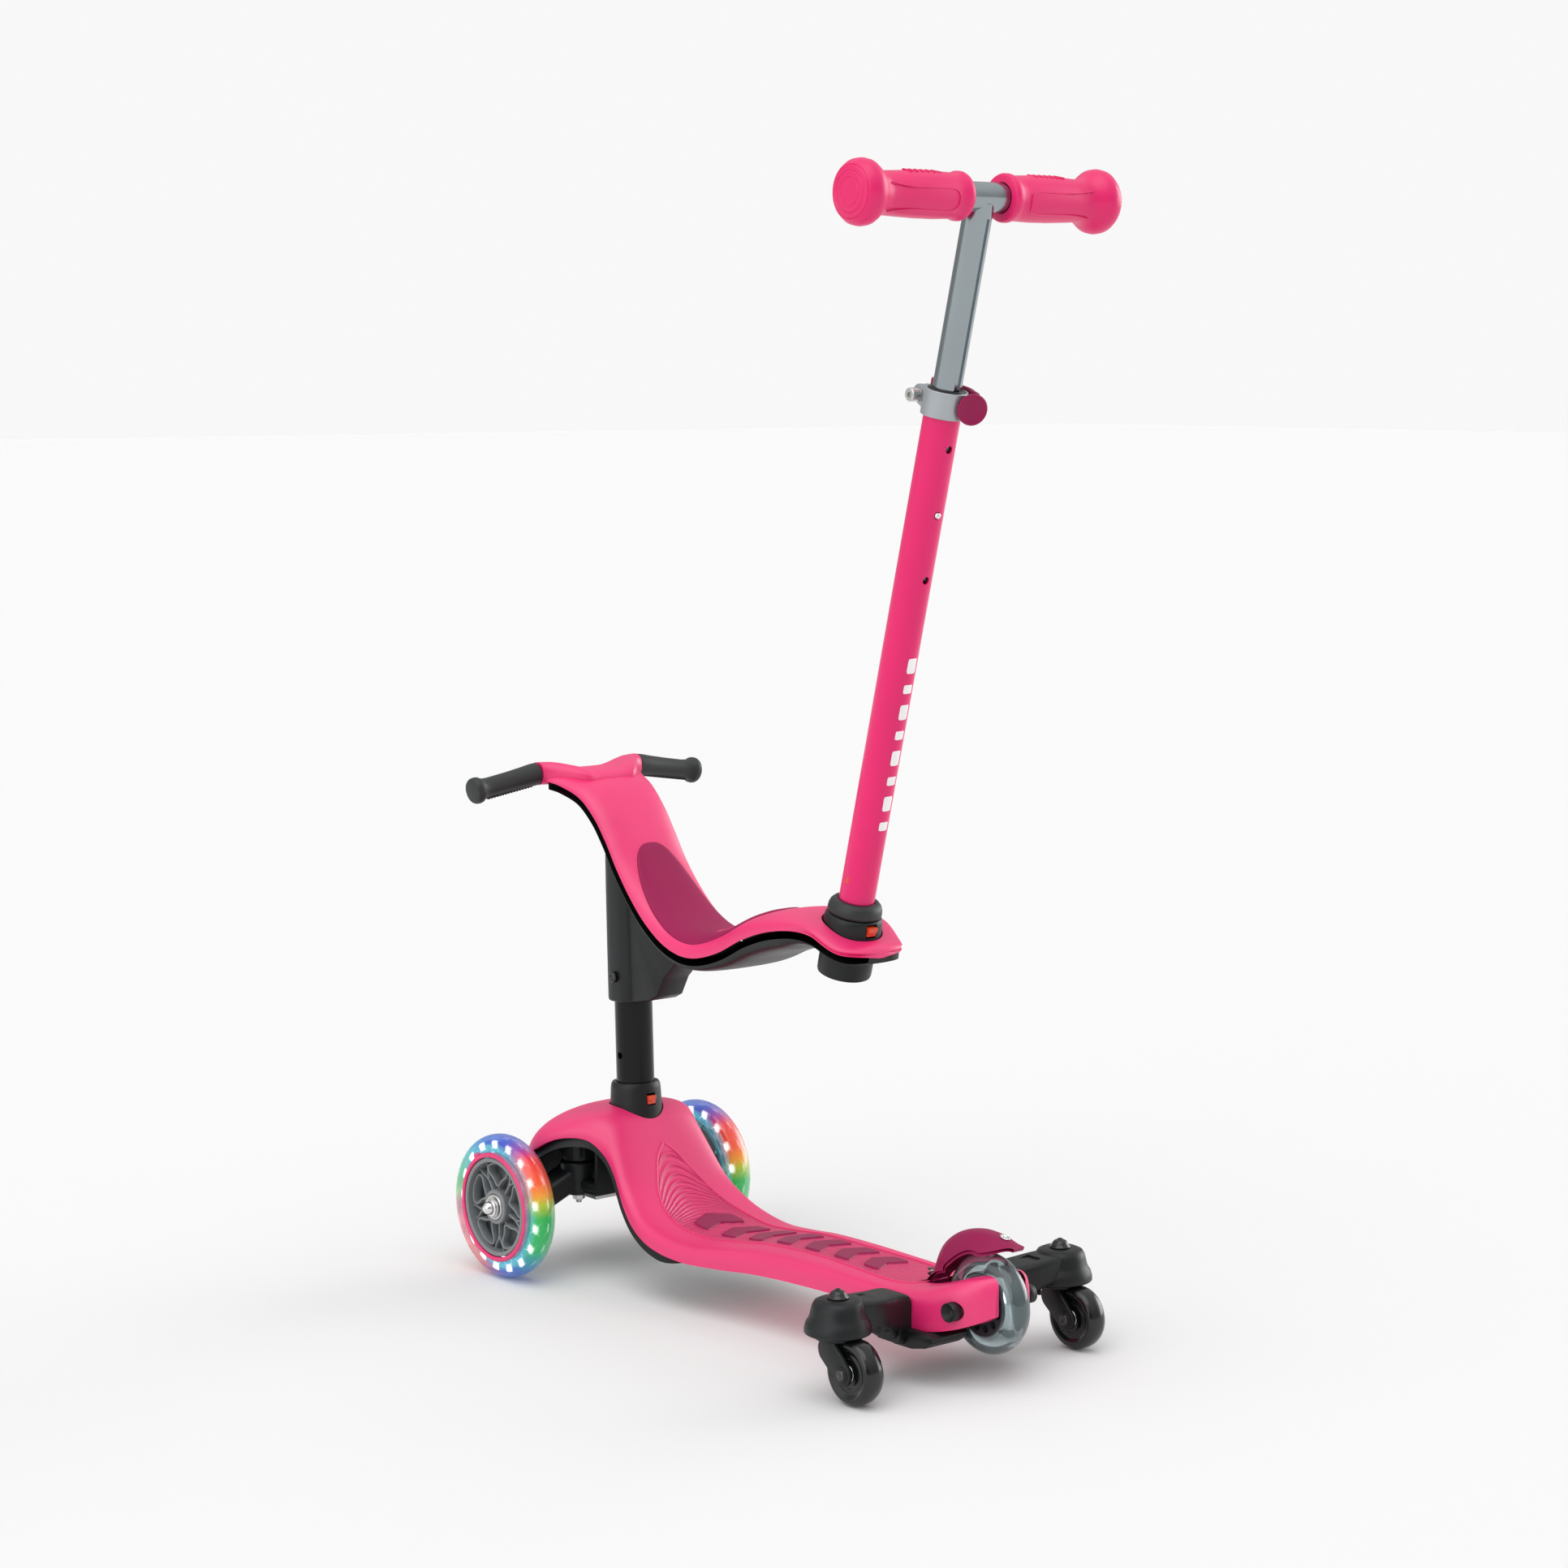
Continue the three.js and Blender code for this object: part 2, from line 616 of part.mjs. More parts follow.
function casterCap(side) {
  const cap = turned([
    [0, HOUSING_TOP + 0.3], [8, HOUSING_TOP + 0.3], [7.4, HOUSING_TOP + 2.6], [4.6, 80.6], [0, 81.6],
  ], 20);
  return at(cap, side * CASTER_X, CASTER_Y, 0);
}

// A swivelling fork: a stem up into the housing, a round crown and two cheeks to the axle.
function casterFork(side) {
  const crownTop = HOUSING_BOTTOM - 0.5;
  const cheekInner = CASTER_HALF_WIDTH + 0.8;
  const cheekOuter = cheekInner + 3.6;
  const stem = rod(6, 40, 66, 16);
  const cheeks = SIDES.map(([, way]) => {
    const outline = new THREE.Shape();
    outline.moveTo(12, crownTop);
    outline.lineTo(-20, crownTop);
    outline.lineTo(-CASTER_TRAIL - 9, 27);
    outline.absarc(-CASTER_TRAIL, CASTER_RADIUS, 9, Math.PI, Math.PI * 1.75, false);
    outline.lineTo(12, 36);
    outline.closePath();
    const slab = new THREE.ExtrudeGeometry(outline, {
      depth: cheekOuter - cheekInner, bevelEnabled: false, curveSegments: 5,
    });
    slab.rotateX(Math.PI / 2).rotateZ(Math.PI / 2);
    return at(slab, way > 0 ? cheekInner : -cheekOuter, 0, 0);
  });
  const crown = box(-cheekOuter, cheekOuter, -19, 12, crownTop - 3, crownTop);
  const wheelWell = at(
    rodAlongX(CASTER_RADIUS + 1.2, -cheekInner, cheekInner, 32), 0, -CASTER_TRAIL, CASTER_RADIUS,
  );
  const axleBore = at(rodAlongX(3.3, -20, 20), 0, -CASTER_TRAIL, CASTER_RADIUS);
  const body = cut(joined(stem, crown, ...cheeks), wheelWell, axleBore);
  return at(body, side * CASTER_X, CASTER_Y, 0);
}

function casterWheel(side) {
  const wheel = turnedAlongX([
    [3.4, -8], [12, -8], [15, -6.4], [20.6, -CASTER_HALF_WIDTH], [23.8, -6],
    [CASTER_RADIUS, -2.2], [CASTER_RADIUS, 2.2], [23.8, 6], [20.6, CASTER_HALF_WIDTH],
    [15, 6.4], [12, 8], [3.4, 8],
  ]);
  return at(wheel, side * CASTER_X, CASTER_Y - CASTER_TRAIL, CASTER_RADIUS);
}

function casterAxle(side) {
  const pin = turnedAlongX([
    [0, -15.4], [4.2, -15.4], [4.2, -13.8], [3, -13.8], [3, 13.8], [4.2, 13.8], [4.2, 15.4], [0, 15.4],
  ], 16);
  return at(pin, side * CASTER_X, CASTER_Y - CASTER_TRAIL, CASTER_RADIUS);
}

part(scooter, 'caster_bar', casterBar(), plastic(BLACK, 0.5));
for (const [name, side] of SIDES) {
  part(scooter, `caster_cap_${name}`, casterCap(side), plastic(BLACK, 0.35));
  part(scooter, `caster_fork_${name}`, casterFork(side), plastic(BLACK, 0.5));
  part(scooter, `caster_wheel_${name}`, casterWheel(side), plastic(0x222425, 0.25));
  part(scooter, `caster_axle_${name}`, casterAxle(side), metal(GREY));
}

// ---- Seat ---------------------------------------------------------------------------------

function seatPost() {
  const tube = turned([
    [POST_RADIUS - 2, POST_BOTTOM], [POST_RADIUS, POST_BOTTOM],
    [POST_RADIUS, POST_TOP], [POST_RADIUS - 2, POST_TOP],
  ], 24);
  const holes = [SCREW_AT, SCREW_AT - SEAT_DROP].map((z) => at(rodAlongX(3, -20, 0), 0, 0, z));
  return cut(tube, ...holes);
}

// The seat's crest line from the rear lobe, over the collar, through the saddle and up to the
// handlebar: [y, z]. Beside it, stations along its length 0..1 give the half width, how far
// the edge turns down, and the section's squareness.
const seatLine = new THREE.SplineCurve([
  [-363, 317], [-345, 319.5], [-320, 332], [-293, 337], [-262, 335], [-228, 326], [-194, 311],
  [-163, 303], [-138, 305.5], [-116, 315.5], [-96, 331], [-76, 352], [-60, 374], [-44, 394],
  [-24, 411], [-2, 420], [14, 423],
].map(([y, z]) => new THREE.Vector2(y, z)));
const seatStation = smoothRows([
  [0, 17, 6, 2.2],
  [0.03, 30, 8, 2.4],
  [0.08, 39, 9, 2.6],
  [0.14, 42, 11, 2.8],
  [0.22, 41, 15, 2.6],
  [0.34, 39, 18, 2.4],
  [0.46, 39, 18, 2.4],
  [0.6, 37, 13, 2.6],
  [0.76, 36, 10, 2.8],
  [0.88, 38, 10, 2.8],
  [0.95, 43, 10, 2.4],
  [1, 50, 9, 2.2],
]);

// A point of the seat's skin: across -1..1 from edge to edge, along 0..1, depth under the skin.
function seatPoint(across, along, depth) {
  const [halfWidth, drop, squareness] = seatStation(along);
  const p = seatLine.getPointAt(along);
  const tangent = seatLine.getTangentAt(along);
  const angle = across * Math.PI / 2;
  const spread = Math.abs(Math.sin(angle)) ** (2 / squareness);
  const lift = Math.max(Math.cos(angle), 0) ** (2 / squareness);
  const below = drop * (1 - lift) + depth;
  return new THREE.Vector3(
    Math.sign(across) * spread * halfWidth,
    p.x + tangent.y * below,
    p.y - tangent.x * below,
  );
}

const SEAT_SKIN = 4;

function seatShell() {
  const plate = moulded(6, 20, 1, (u, v, w) => {
    const along = (v + 1) / 2;
    if (w > 0) return seatPoint(u, along, 0);
    const inner = seatPoint(u * 0.96, along, SEAT_SKIN);
    const rim = seatPoint(u, along, 0);
    return Math.abs(u) === 1 ? rim.lerp(inner, 0.6) : inner;
  });
  const bar = at(rodAlongX(9.4, -50, 50, 20), 0, 21, 419.5);
  const collarHole = onMast(rod(24.6, 300, 380, 28));
  return cut(joined(plate, bar), collarHole);
}

function seatPad() {
  const from = 0.27;
  const to = 0.765;
  return moulded(4, 12, 1, (u, v, w) => {
    const t = (v + 1) / 2;
    const swell = Math.sin(Math.PI * THREE.MathUtils.lerp(0.02, 0.98, t)) ** 0.55;
    const along = THREE.MathUtils.lerp(from, to, t);
    return seatPoint(u * 0.66 * swell, along, w > 0 ? -3 : -1.3);
  });
}

// The black lower shell: an under-skin of the same sweep, the sleeve that slips over the seat
// post with a web behind it, and the socket under the rear lobe that takes the T-bar.
function seatLower() {
  const under = moulded(4, 18, 1, (u, v, w) => {
    const along = THREE.MathUtils.lerp(0.012, 0.985, (v + 1) / 2);
    const [, drop] = seatStation(along);
    const bowl = 9.5 * Math.sqrt(Math.max(1 - (u * 0.92) ** 2, 0));
    const p = seatPoint(u * 0.93, along, 0);
    const crest = seatPoint(0, along, drop + 2.3 + (w < 0 ? 2.1 + bowl : 0));
    return new THREE.Vector3(p.x * (w < 0 ? 0.94 : 0.97), crest.y, crest.z);
  });
  const sleeve = onPost(moulded(5, 5, 1, (u, v, w) => {
    const reach = Math.max(Math.abs(u), Math.abs(v)) || 1;
    const round = Math.hypot(u, v) || 1;
    const scale = reach / round * 19.6;
    return new THREE.Vector3(u * scale, v * scale, w < 0 ? SLEEVE_BOTTOM : 352);
  }));
  const web = new THREE.Shape();
  web.moveTo(-26, SLEEVE_BOTTOM + 1);
  web.lineTo(-21, 372);
  web.lineTo(-38, 386);
  web.lineTo(-62, 356);
  web.lineTo(-85, 322);
  web.lineTo(-112, 294);
  web.lineTo(-140, 284);
  web.quadraticCurveTo(-104, 276, -92, 240);
  web.lineTo(-84, 236);
  web.lineTo(-60, SLEEVE_BOTTOM + 1);
  web.closePath();
  const webHalf = 14;
  const webSlab = new THREE.ExtrudeGeometry(web, {
    depth: webHalf * 2, bevelEnabled: false, curveSegments: 6,
  });
  webSlab.rotateX(Math.PI / 2).rotateZ(Math.PI / 2).translate(-webHalf, 0, 0);
  const stub = onMast(turned([
    [MAST_RADIUS + GAP, 295], [22, 295], [23.2, 297], [23.2, 322], [MAST_RADIUS + GAP, 322],
  ], 28));
  const body = joined(under, sleeve, webSlab, stub);
  const postBore = onPost(rod(POST_RADIUS + GAP, 200, POST_TOP + SEAT_DROP + 4, 24));
  const mastBore = onMast(rod(MAST_RADIUS + GAP, 250, 400, 24));
  const screwBore = onPost(at(rodAlongX(3.2, -40, 0), 0, 0, SCREW_AT));
  const collarSeat = onMast(rod(24.5, 322.5, 420, 28));
  return cut(body, postBore, mastBore, screwBore, collarSeat);
}

function sleeveScrew() {
  return at(turned([
    [0, 0], [4.6, 0], [4.6, -2.4], [2.8, -2.4], [2.8, -5.4], [0, -5.4],
  ], 12).rotateY(-Math.PI / 2), -22.2, 0, SCREW_AT);
}

const GRIP_DROOP = 0.152;

function seatGrip(side) {
  const grip = turnedAlongX([
    [0, 0], [9.2, 0], [9.4, 6], [8.2, 30], [7.8, 55], [8.6, 58], [10.9, 60.5], [10.9, 64],
    [8.5, 67], [0, 67],
  ], 20);
  grip.rotateY(GRIP_DROOP);
  if (side < 0) grip.rotateZ(Math.PI);
  return at(grip, side * 52, 22, 419.5);
}

// The rear collar: a shouldered socket with a rounded boot ring over it.
function seatCollar() {
  const collar = turned([
    [MAST_RADIUS + GAP, 323], [24, 323], [23.5, 338], [22.6, 347.4], [20.2, 349], [21.4, 351.4],
    [21.2, 355], [18.2, 360], [MAST_RADIUS + GAP, COLLAR_TOP],
  ], 20);
  return cut(collar, box(-5, 5, -30, -8, 337, 347));
}

part(post, 'seat_post', seatPost(), metal(BLACK, 0.25));
part(scooter, 'seat_shell', seatShell(), plastic(PINK, 0.4));
part(scooter, 'seat_pad', seatPad(), plastic(MAGENTA, 0.6));
part(scooter, 'seat_lower', seatLower(), plastic(BLACK, 0.5));
part(post, 'sleeve_screw', sleeveScrew(), metal(BLACK, 0.4));
for (const [name, side] of SIDES) {
  part(scooter, `seat_grip_${name}`, seatGrip(side), plastic(BLACK, 0.6));
}
part(mast, 'seat_collar', seatCollar(), plastic(BLACK, 0.45));
part(mast, 'mast_button', box(-4.6, 4.6, -23.8, -18.2, 338.4, 345.8), plastic(RED, 0.4));

// ---- T-bar --------------------------------------------------------------------------------

// The lower tube, drilled every 50 mm down its back for the height button, slit at the clamp.
function mastTube() {
  const tube = turned([
    [MAST_RADIUS - 1.8, MAST_BOTTOM], [MAST_RADIUS, MAST_BOTTOM],
    [MAST_RADIUS, MAST_TOP], [MAST_RADIUS - 1.8, MAST_TOP],
  ], 20);
  const holes = [-1, 0, 1].map((step) => at(
    rodAlongY(3, -20, 0, 12), 0, 0, SNAP_AT + step * HOLE_PITCH,
  ));
  const slit = box(-1, 1, 5, 20, 742, 780);
  return cut(tube, ...holes, slit);
}

// The stem and crossbar are one welded piece. A shallow groove runs down the stem's back.
function stem() {
  const outer = joined(
    rod(STEM_RADIUS, STEM_BOTTOM, CROSSBAR_AT - 3, 24),
    at(rodAlongX(STEM_RADIUS, -118, 118, 24), 0, 0, CROSSBAR_AT),
  );
  const stemBore = rod(STEM_RADIUS - 2.6, STEM_BOTTOM - 5, CROSSBAR_AT - 13, 16);
  const barBore = at(rodAlongX(STEM_RADIUS - 1.8, -130, 130, 16), 0, 0, CROSSBAR_AT);
  const groove = box(-2.7, 2.7, -20, -9.2, STEM_BOTTOM - 5, CROSSBAR_AT - 16);
  return cut(outer, stemBore, barBore, groove);
}

function snapButton() {
  return at(turned([
    [0, 11.9], [2.2, 11.9], [2.6, 12.4], [2.6, 15], [1.6, 15.9], [0, 16.1],
  ], 12).rotateX(Math.PI / 2), 0, 0, SNAP_AT);
}

function clampBush() {
  return turned([
    [STEM_RADIUS + 0.35, 748], [MAST_RADIUS - 2.1, 748], [MAST_RADIUS - 2.1, MAST_TOP + 0.4],
    [MAST_RADIUS, MAST_TOP + 0.4], [MAST_RADIUS, MAST_TOP + 3.6], [STEM_RADIUS + 0.35, MAST_TOP + 3.6],
  ], 24);
}

const CLAMP_BOLT_Y = 24;
const LEVER_PIVOT_X = 14;

// A thin strap round the tube, open in front, with two ears for the clamp bolt.
function clampCollar() {
  const half = 10;
  const ringOuter = MAST_RADIUS + 2.6;
  const ring = turned([
    [MAST_RADIUS + GAP, CLAMP_AT - half], [ringOuter, CLAMP_AT - half],
    [ringOuter, CLAMP_AT + half], [MAST_RADIUS + GAP, CLAMP_AT + half],
  ], 28);
  const ears = SIDES.map(([, side]) => {
    const outline = new THREE.Shape();
    outline.moveTo(12, CLAMP_AT - half);
    outline.lineTo(25, CLAMP_AT - 7);
    outline.lineTo(31, CLAMP_AT - 4);
    outline.lineTo(31, CLAMP_AT + 6);
    outline.lineTo(28, CLAMP_AT + half);
    outline.lineTo(12, CLAMP_AT + half);
    outline.closePath();
    const ear = new THREE.ExtrudeGeometry(outline, { depth: 3, bevelEnabled: false });
    ear.rotateX(Math.PI / 2).rotateZ(Math.PI / 2);
    return at(ear, side < 0 ? -4.8 : 1.8, 0, 0);
  });
  const slit = box(-1.7, 1.7, 8, 40, 740, 780);
  const tubeBore = rod(MAST_RADIUS + GAP, 740, 780, 28);
  const boltBore = at(rodAlongX(2.9, -20, 20), 0, CLAMP_BOLT_Y, CLAMP_AT);
  return cut(joined(ring, ...ears), tubeBore, slit, boltBore);
}

// The socket-head clamp bolt, threaded into the barrel pin that the lever turns on.
function clampBolt() {
  const bolt = at(turnedAlongX([
    [0, -14.5], [4.2, -14.5], [4.2, -9.5], [5.4, -9.5], [5.4, -5.2], [2.5, -5.2],
    [2.5, LEVER_PIVOT_X], [0, LEVER_PIVOT_X],
  ], 16), 0, CLAMP_BOLT_Y, CLAMP_AT);
  const socket = at(rodAlongX(2.1, -20, -11.8, 6), 0, CLAMP_BOLT_Y, CLAMP_AT);
  const barrel = at(rod(2.9, CLAMP_AT - 8.6, CLAMP_AT + 8.6), LEVER_PIVOT_X, CLAMP_BOLT_Y, 0);
  return cut(joined(bolt, barrel), socket);
}

// The cam lever: a forked cam on the barrel pin, a band round the tube's right side, and a
// round thumb pad at the back.
function clampLever() {
  const cams = [[-8.5, -3.4], [3.4, 12]].map(([low, high]) => at(
    rod(6.4, CLAMP_AT + low, CLAMP_AT + high, 20), LEVER_PIVOT_X, CLAMP_BOLT_Y, 0,
  ));
  const band = moulded(1, 12, 2, (u, v, w) => {
    const t = (v + 1) / 2;
    const angle = THREE.MathUtils.lerp(1.02, -1.12, t);
    const inner = 17.8 + 7.4 * THREE.MathUtils.smoothstep(angle, 0.3, 1.02)
      + 4.6 * THREE.MathUtils.smoothstep(-angle, 0.55, 1.1);
    const radius = inner + (u + 1) * 2;
    const height = THREE.MathUtils.lerp(12, 8.5, t);
    return new THREE.Vector3(
      radius * Math.cos(angle), radius * Math.sin(angle), CLAMP_AT + (w < 0 ? -8.5 : height),
    );
  });
  const facing = new THREE.Vector2(-0.302, -0.953);
  const padFrom = 17.6;
  const padShift = 14;
  const pad = at(rodAlongY(11.8, -4, 0, 24), 0, 0, CLAMP_AT + 0.5);
  pad.rotateZ(Math.atan2(facing.x, -facing.y));
  const padX = facing.x * padFrom - facing.y * padShift;
  const padY = facing.y * padFrom + facing.x * padShift;
  const body = joined(band, ...cams, at(pad, padX, padY, 0));
  const barrelBore = at(rod(3.2, 700, 800), LEVER_PIVOT_X, CLAMP_BOLT_Y, 0);
  const camSlot = at(rod(10, CLAMP_AT - 3.4, CLAMP_AT + 3.4, 24), LEVER_PIVOT_X, CLAMP_BOLT_Y, 0);
  return cut(body, barrelBore, camSlot);
}

// A soft grip with an inner flange, a palm swell and a big round end knob.
function handleGrip(side) {
  const grip = turnedAlongX([
    [0, 118.6], [STEM_RADIUS + GAP, 118.6], [STEM_RADIUS + GAP, 20], [16, 20], [18, 22.6], [18, 25.4],
    [16.6, 26], [17.2, 50], [15.7, 98], [17, 104], [22, 108], [24.2, 114], [22.4, 123],
    [14, 127], [0, 127],
  ], 16);
  if (side < 0) grip.rotateZ(Math.PI);
  return at(grip, 0, 0, CROSSBAR_AT);
}

part(mast, 'mast_tube', mastTube(), metal(PINK, 0.35));
part(mast, 'stem_and_crossbar', stem(), metal(STEEL, 0.35));
part(mast, 'snap_button', snapButton(), metal(STEEL, 0.2));
part(mast, 'clamp_bush', clampBush(), plastic(BLACK, 0.5));
part(mast, 'clamp_collar', clampCollar(), metal(0x9aa3a8, 0.4));
part(mast, 'clamp_bolt', clampBolt(), metal(STEEL, 0.25));
part(mast, 'clamp_lever', clampLever(), plastic(MAGENTA, 0.4));
for (const [name, side] of SIDES) {
  part(mast, `handle_grip_${name}`, handleGrip(side), plastic(PINK, 0.6));
}

export default scooter;
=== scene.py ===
import math

import bmesh
import bpy
from mathutils import Matrix, Vector


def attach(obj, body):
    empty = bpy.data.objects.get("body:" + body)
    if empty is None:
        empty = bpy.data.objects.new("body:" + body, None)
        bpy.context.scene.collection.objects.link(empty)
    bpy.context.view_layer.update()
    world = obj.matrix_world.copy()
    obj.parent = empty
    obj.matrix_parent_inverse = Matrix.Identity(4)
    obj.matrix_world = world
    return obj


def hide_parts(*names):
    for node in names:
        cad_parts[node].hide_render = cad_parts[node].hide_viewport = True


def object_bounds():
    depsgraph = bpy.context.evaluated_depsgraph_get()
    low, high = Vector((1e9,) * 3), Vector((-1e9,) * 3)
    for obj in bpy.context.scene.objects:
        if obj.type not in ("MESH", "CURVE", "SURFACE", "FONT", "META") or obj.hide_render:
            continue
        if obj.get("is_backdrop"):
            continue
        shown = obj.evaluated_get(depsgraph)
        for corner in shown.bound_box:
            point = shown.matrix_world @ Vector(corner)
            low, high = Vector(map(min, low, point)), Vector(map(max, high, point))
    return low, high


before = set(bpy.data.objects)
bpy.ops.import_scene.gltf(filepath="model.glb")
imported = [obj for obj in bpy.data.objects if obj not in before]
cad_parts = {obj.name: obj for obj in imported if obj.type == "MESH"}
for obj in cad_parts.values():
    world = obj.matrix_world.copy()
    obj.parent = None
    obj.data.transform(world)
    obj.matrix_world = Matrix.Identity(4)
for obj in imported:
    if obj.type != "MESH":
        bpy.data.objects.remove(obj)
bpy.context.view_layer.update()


def adjust(node, values):
    """Sets a node's inputs by name."""
    for name, value in values.items():
        node.inputs[name].default_value = value


def wire(links, *rows):
    """Links nodes, one row per link: node, its output, next node, its input."""
    for giver, output, taker, entry in rows:
        links.new(giver.outputs[output], taker.inputs[entry])


# ---- Camera ----
# The scooter is seen from behind its left side, a little above the deck.
FRONT_AXLE_Y = 230
VIEW_AZIMUTH = 0.6955
VIEW_DOWN = 0.1225
view_from = Vector((-1.7166, -2.2972 + FRONT_AXLE_Y / 1000, 0.7612))
view_along = Vector((
    math.sin(VIEW_AZIMUTH) * math.cos(VIEW_DOWN),
    math.cos(VIEW_AZIMUTH) * math.cos(VIEW_DOWN),
    -math.sin(VIEW_DOWN),
))
camera = bpy.data.objects.new("camera", bpy.data.cameras.new("camera"))
camera.data.sensor_width = 36
camera.data.lens = 78.2
camera.location = view_from
camera.rotation_euler = view_along.to_track_quat("-Z", "Y").to_euler()
bpy.context.scene.collection.objects.link(camera)
bpy.context.scene.camera = camera
bpy.context.scene.view_settings.view_transform = "Standard"

# ---- Floor and light ----
# A plain pale floor with two broad lamps, one above and one from the left. The camera sees an
# even white sky, but what lights the scooter is brighter above and at the sides, and a little
# darker towards the camera.
floor_mesh = bmesh.new()
bmesh.ops.create_grid(floor_mesh, x_segments=2, y_segments=2, size=30)
floor_data = bpy.data.meshes.new("floor")
floor_mesh.to_mesh(floor_data)
floor_mesh.free()
floor = bpy.data.objects.new("floor", floor_data)
bpy.context.scene.collection.objects.link(floor)
floor.location.z = -0.0005
floor_paint = bpy.data.materials.new("floor_paint")
floor_paint.use_nodes = True
floor_shader = floor_paint.node_tree.nodes["Principled BSDF"]
adjust(floor_shader, {
    "Base Color": (0.78, 0.78, 0.78, 1), "Roughness": 1, "Specular IOR Level": 0,
})
floor_data.materials.append(floor_paint)
floor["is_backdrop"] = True

sky = bpy.data.worlds.new("sky")
sky.use_nodes = True
sky_nodes, sky_links = sky.node_tree.nodes, sky.node_tree.links
seen = sky_nodes["Background"]
seen.inputs["Color"].default_value = (0.94, 0.94, 0.94, 1)
shed = sky_nodes.new("ShaderNodeBackground")
shed.inputs["Color"].default_value = (0.98, 0.98, 0.98, 1)
heading = sky_nodes.new("ShaderNodeTexCoord")
total = sky_nodes.new("ShaderNodeValue")
total.outputs[0].default_value = 0.41
brightness = total.outputs[0]
# Bright and dark parts of the sky: direction, where each begins and ends as a cosine, gain.
PANELS = [((0, 0, 1), 0.15, 0.85, 0.5), ((0.98, -0.17, 0.1), 0.87, 0.96, 4.6),
          ((-0.97, 0.2, 0.15), 0.75, 0.97, 0.8), ((-0.64, -0.77, 0.05), 0.88, 0.99, -0.34)]
for toward, dim, full, gain in PANELS:
    facing = sky_nodes.new("ShaderNodeVectorMath")
    facing.operation = "DOT_PRODUCT"
    facing.inputs[1].default_value = toward
    sky_links.new(heading.outputs["Generated"], facing.inputs[0])
    panel = sky_nodes.new("ShaderNodeMapRange")
    panel.interpolation_type = "SMOOTHSTEP"
    adjust(panel, {"From Min": dim, "From Max": full, "To Max": gain})
    sky_links.new(facing.outputs["Value"], panel.inputs["Value"])
    add = sky_nodes.new("ShaderNodeMath")
    sky_links.new(brightness, add.inputs[0])
    sky_links.new(panel.outputs["Result"], add.inputs[1])
    brightness = add.outputs[0]
sky_links.new(brightness, shed.inputs["Strength"])
choose = sky_nodes.new("ShaderNodeMixShader")
path = sky_nodes.new("ShaderNodeLightPath")
wire(sky_links,
    (path, "Is Camera Ray", choose, "Fac"), (shed, "Background", choose, 1),
    (seen, "Background", choose, 2),
)
sky_links.new(choose.outputs["Shader"], sky_nodes["World Output"].inputs["Surface"])
bpy.context.scene.world = sky


def broad_sun(name, from_direction, strength, spread):
    data = bpy.data.lights.new(name, "SUN")
    data.energy = strength
    data.angle = spread
    lamp = bpy.data.objects.new(name, data)
    lamp.rotation_euler = Vector(from_direction).to_track_quat("Z", "Y").to_euler()
    bpy.context.scene.collection.objects.link(lamp)


broad_sun("top_light", (-0.5, -0.35, 1.6), 0.9, 0.9)
broad_sun("left_light", (-1.6, -0.5, 0.7), 0.5, 0.7)

# ---- Shared finishes and shapes ----
SIDES = (("left", -1), ("right", 1))
HALF_TURN = Matrix.Rotation(math.pi, 4, "Z")


def shift(x, y, z):
    return Matrix.Translation((x, y, z))


TO_FRAME = Matrix.Scale(0.001, 4) @ shift(0, FRONT_AXLE_Y, 0)


def moulded_skin_group():
    group = bpy.data.node_groups.new("moulded_skin", "ShaderNodeTree")
    for name, kind in (("Color", "NodeSocketColor"), ("Roughness", "NodeSocketFloat"),
                       ("Grain", "NodeSocketFloat"), ("Wear", "NodeSocketFloat")):
        group.interface.new_socket(name, in_out="INPUT", socket_type=kind)
    for name, kind in (("Color", "NodeSocketColor"), ("Roughness", "NodeSocketFloat"),
                       ("Height", "NodeSocketFloat")):
        group.interface.new_socket(name, in_out="OUTPUT", socket_type=kind)
    nodes, links = group.nodes, group.links
    given = nodes.new("NodeGroupInput")
    made = nodes.new("NodeGroupOutput")
    place = nodes.new("ShaderNodeTexCoord")
    grain = nodes.new("ShaderNodeTexNoise")
    grain.inputs["Detail"].default_value = 3
    cloud = nodes.new("ShaderNodeTexNoise")
    adjust(cloud, {"Scale": 14, "Detail": 4})
    wire(links,
        (place, "Object", grain, "Vector"), (place, "Object", cloud, "Vector"),
        (given, "Grain", grain, "Scale"),
    )
    spread = nodes.new("ShaderNodeMapRange")
    adjust(spread, {"From Min": 0.3, "From Max": 0.7, "To Min": 0.955, "To Max": 1.035})
    links.new(cloud.outputs["Fac"], spread.inputs["Value"])
    tone = nodes.new("ShaderNodeHueSaturation")
    wire(links,
        (given, "Color", tone, "Color"), (spread, "Result", tone, "Value"),
        (tone, "Color", made, "Color"),
    )
    scuff = nodes.new("ShaderNodeMath")
    scuff.operation = "MULTIPLY_ADD"
    wire(links,
        (cloud, "Fac", scuff, 0), (given, "Wear", scuff, 1), (given, "Roughness", scuff, 2),
        (scuff, "Value", made, "Roughness"), (grain, "Fac", made, "Height"),
    )
    return group


moulded_skin = moulded_skin_group()


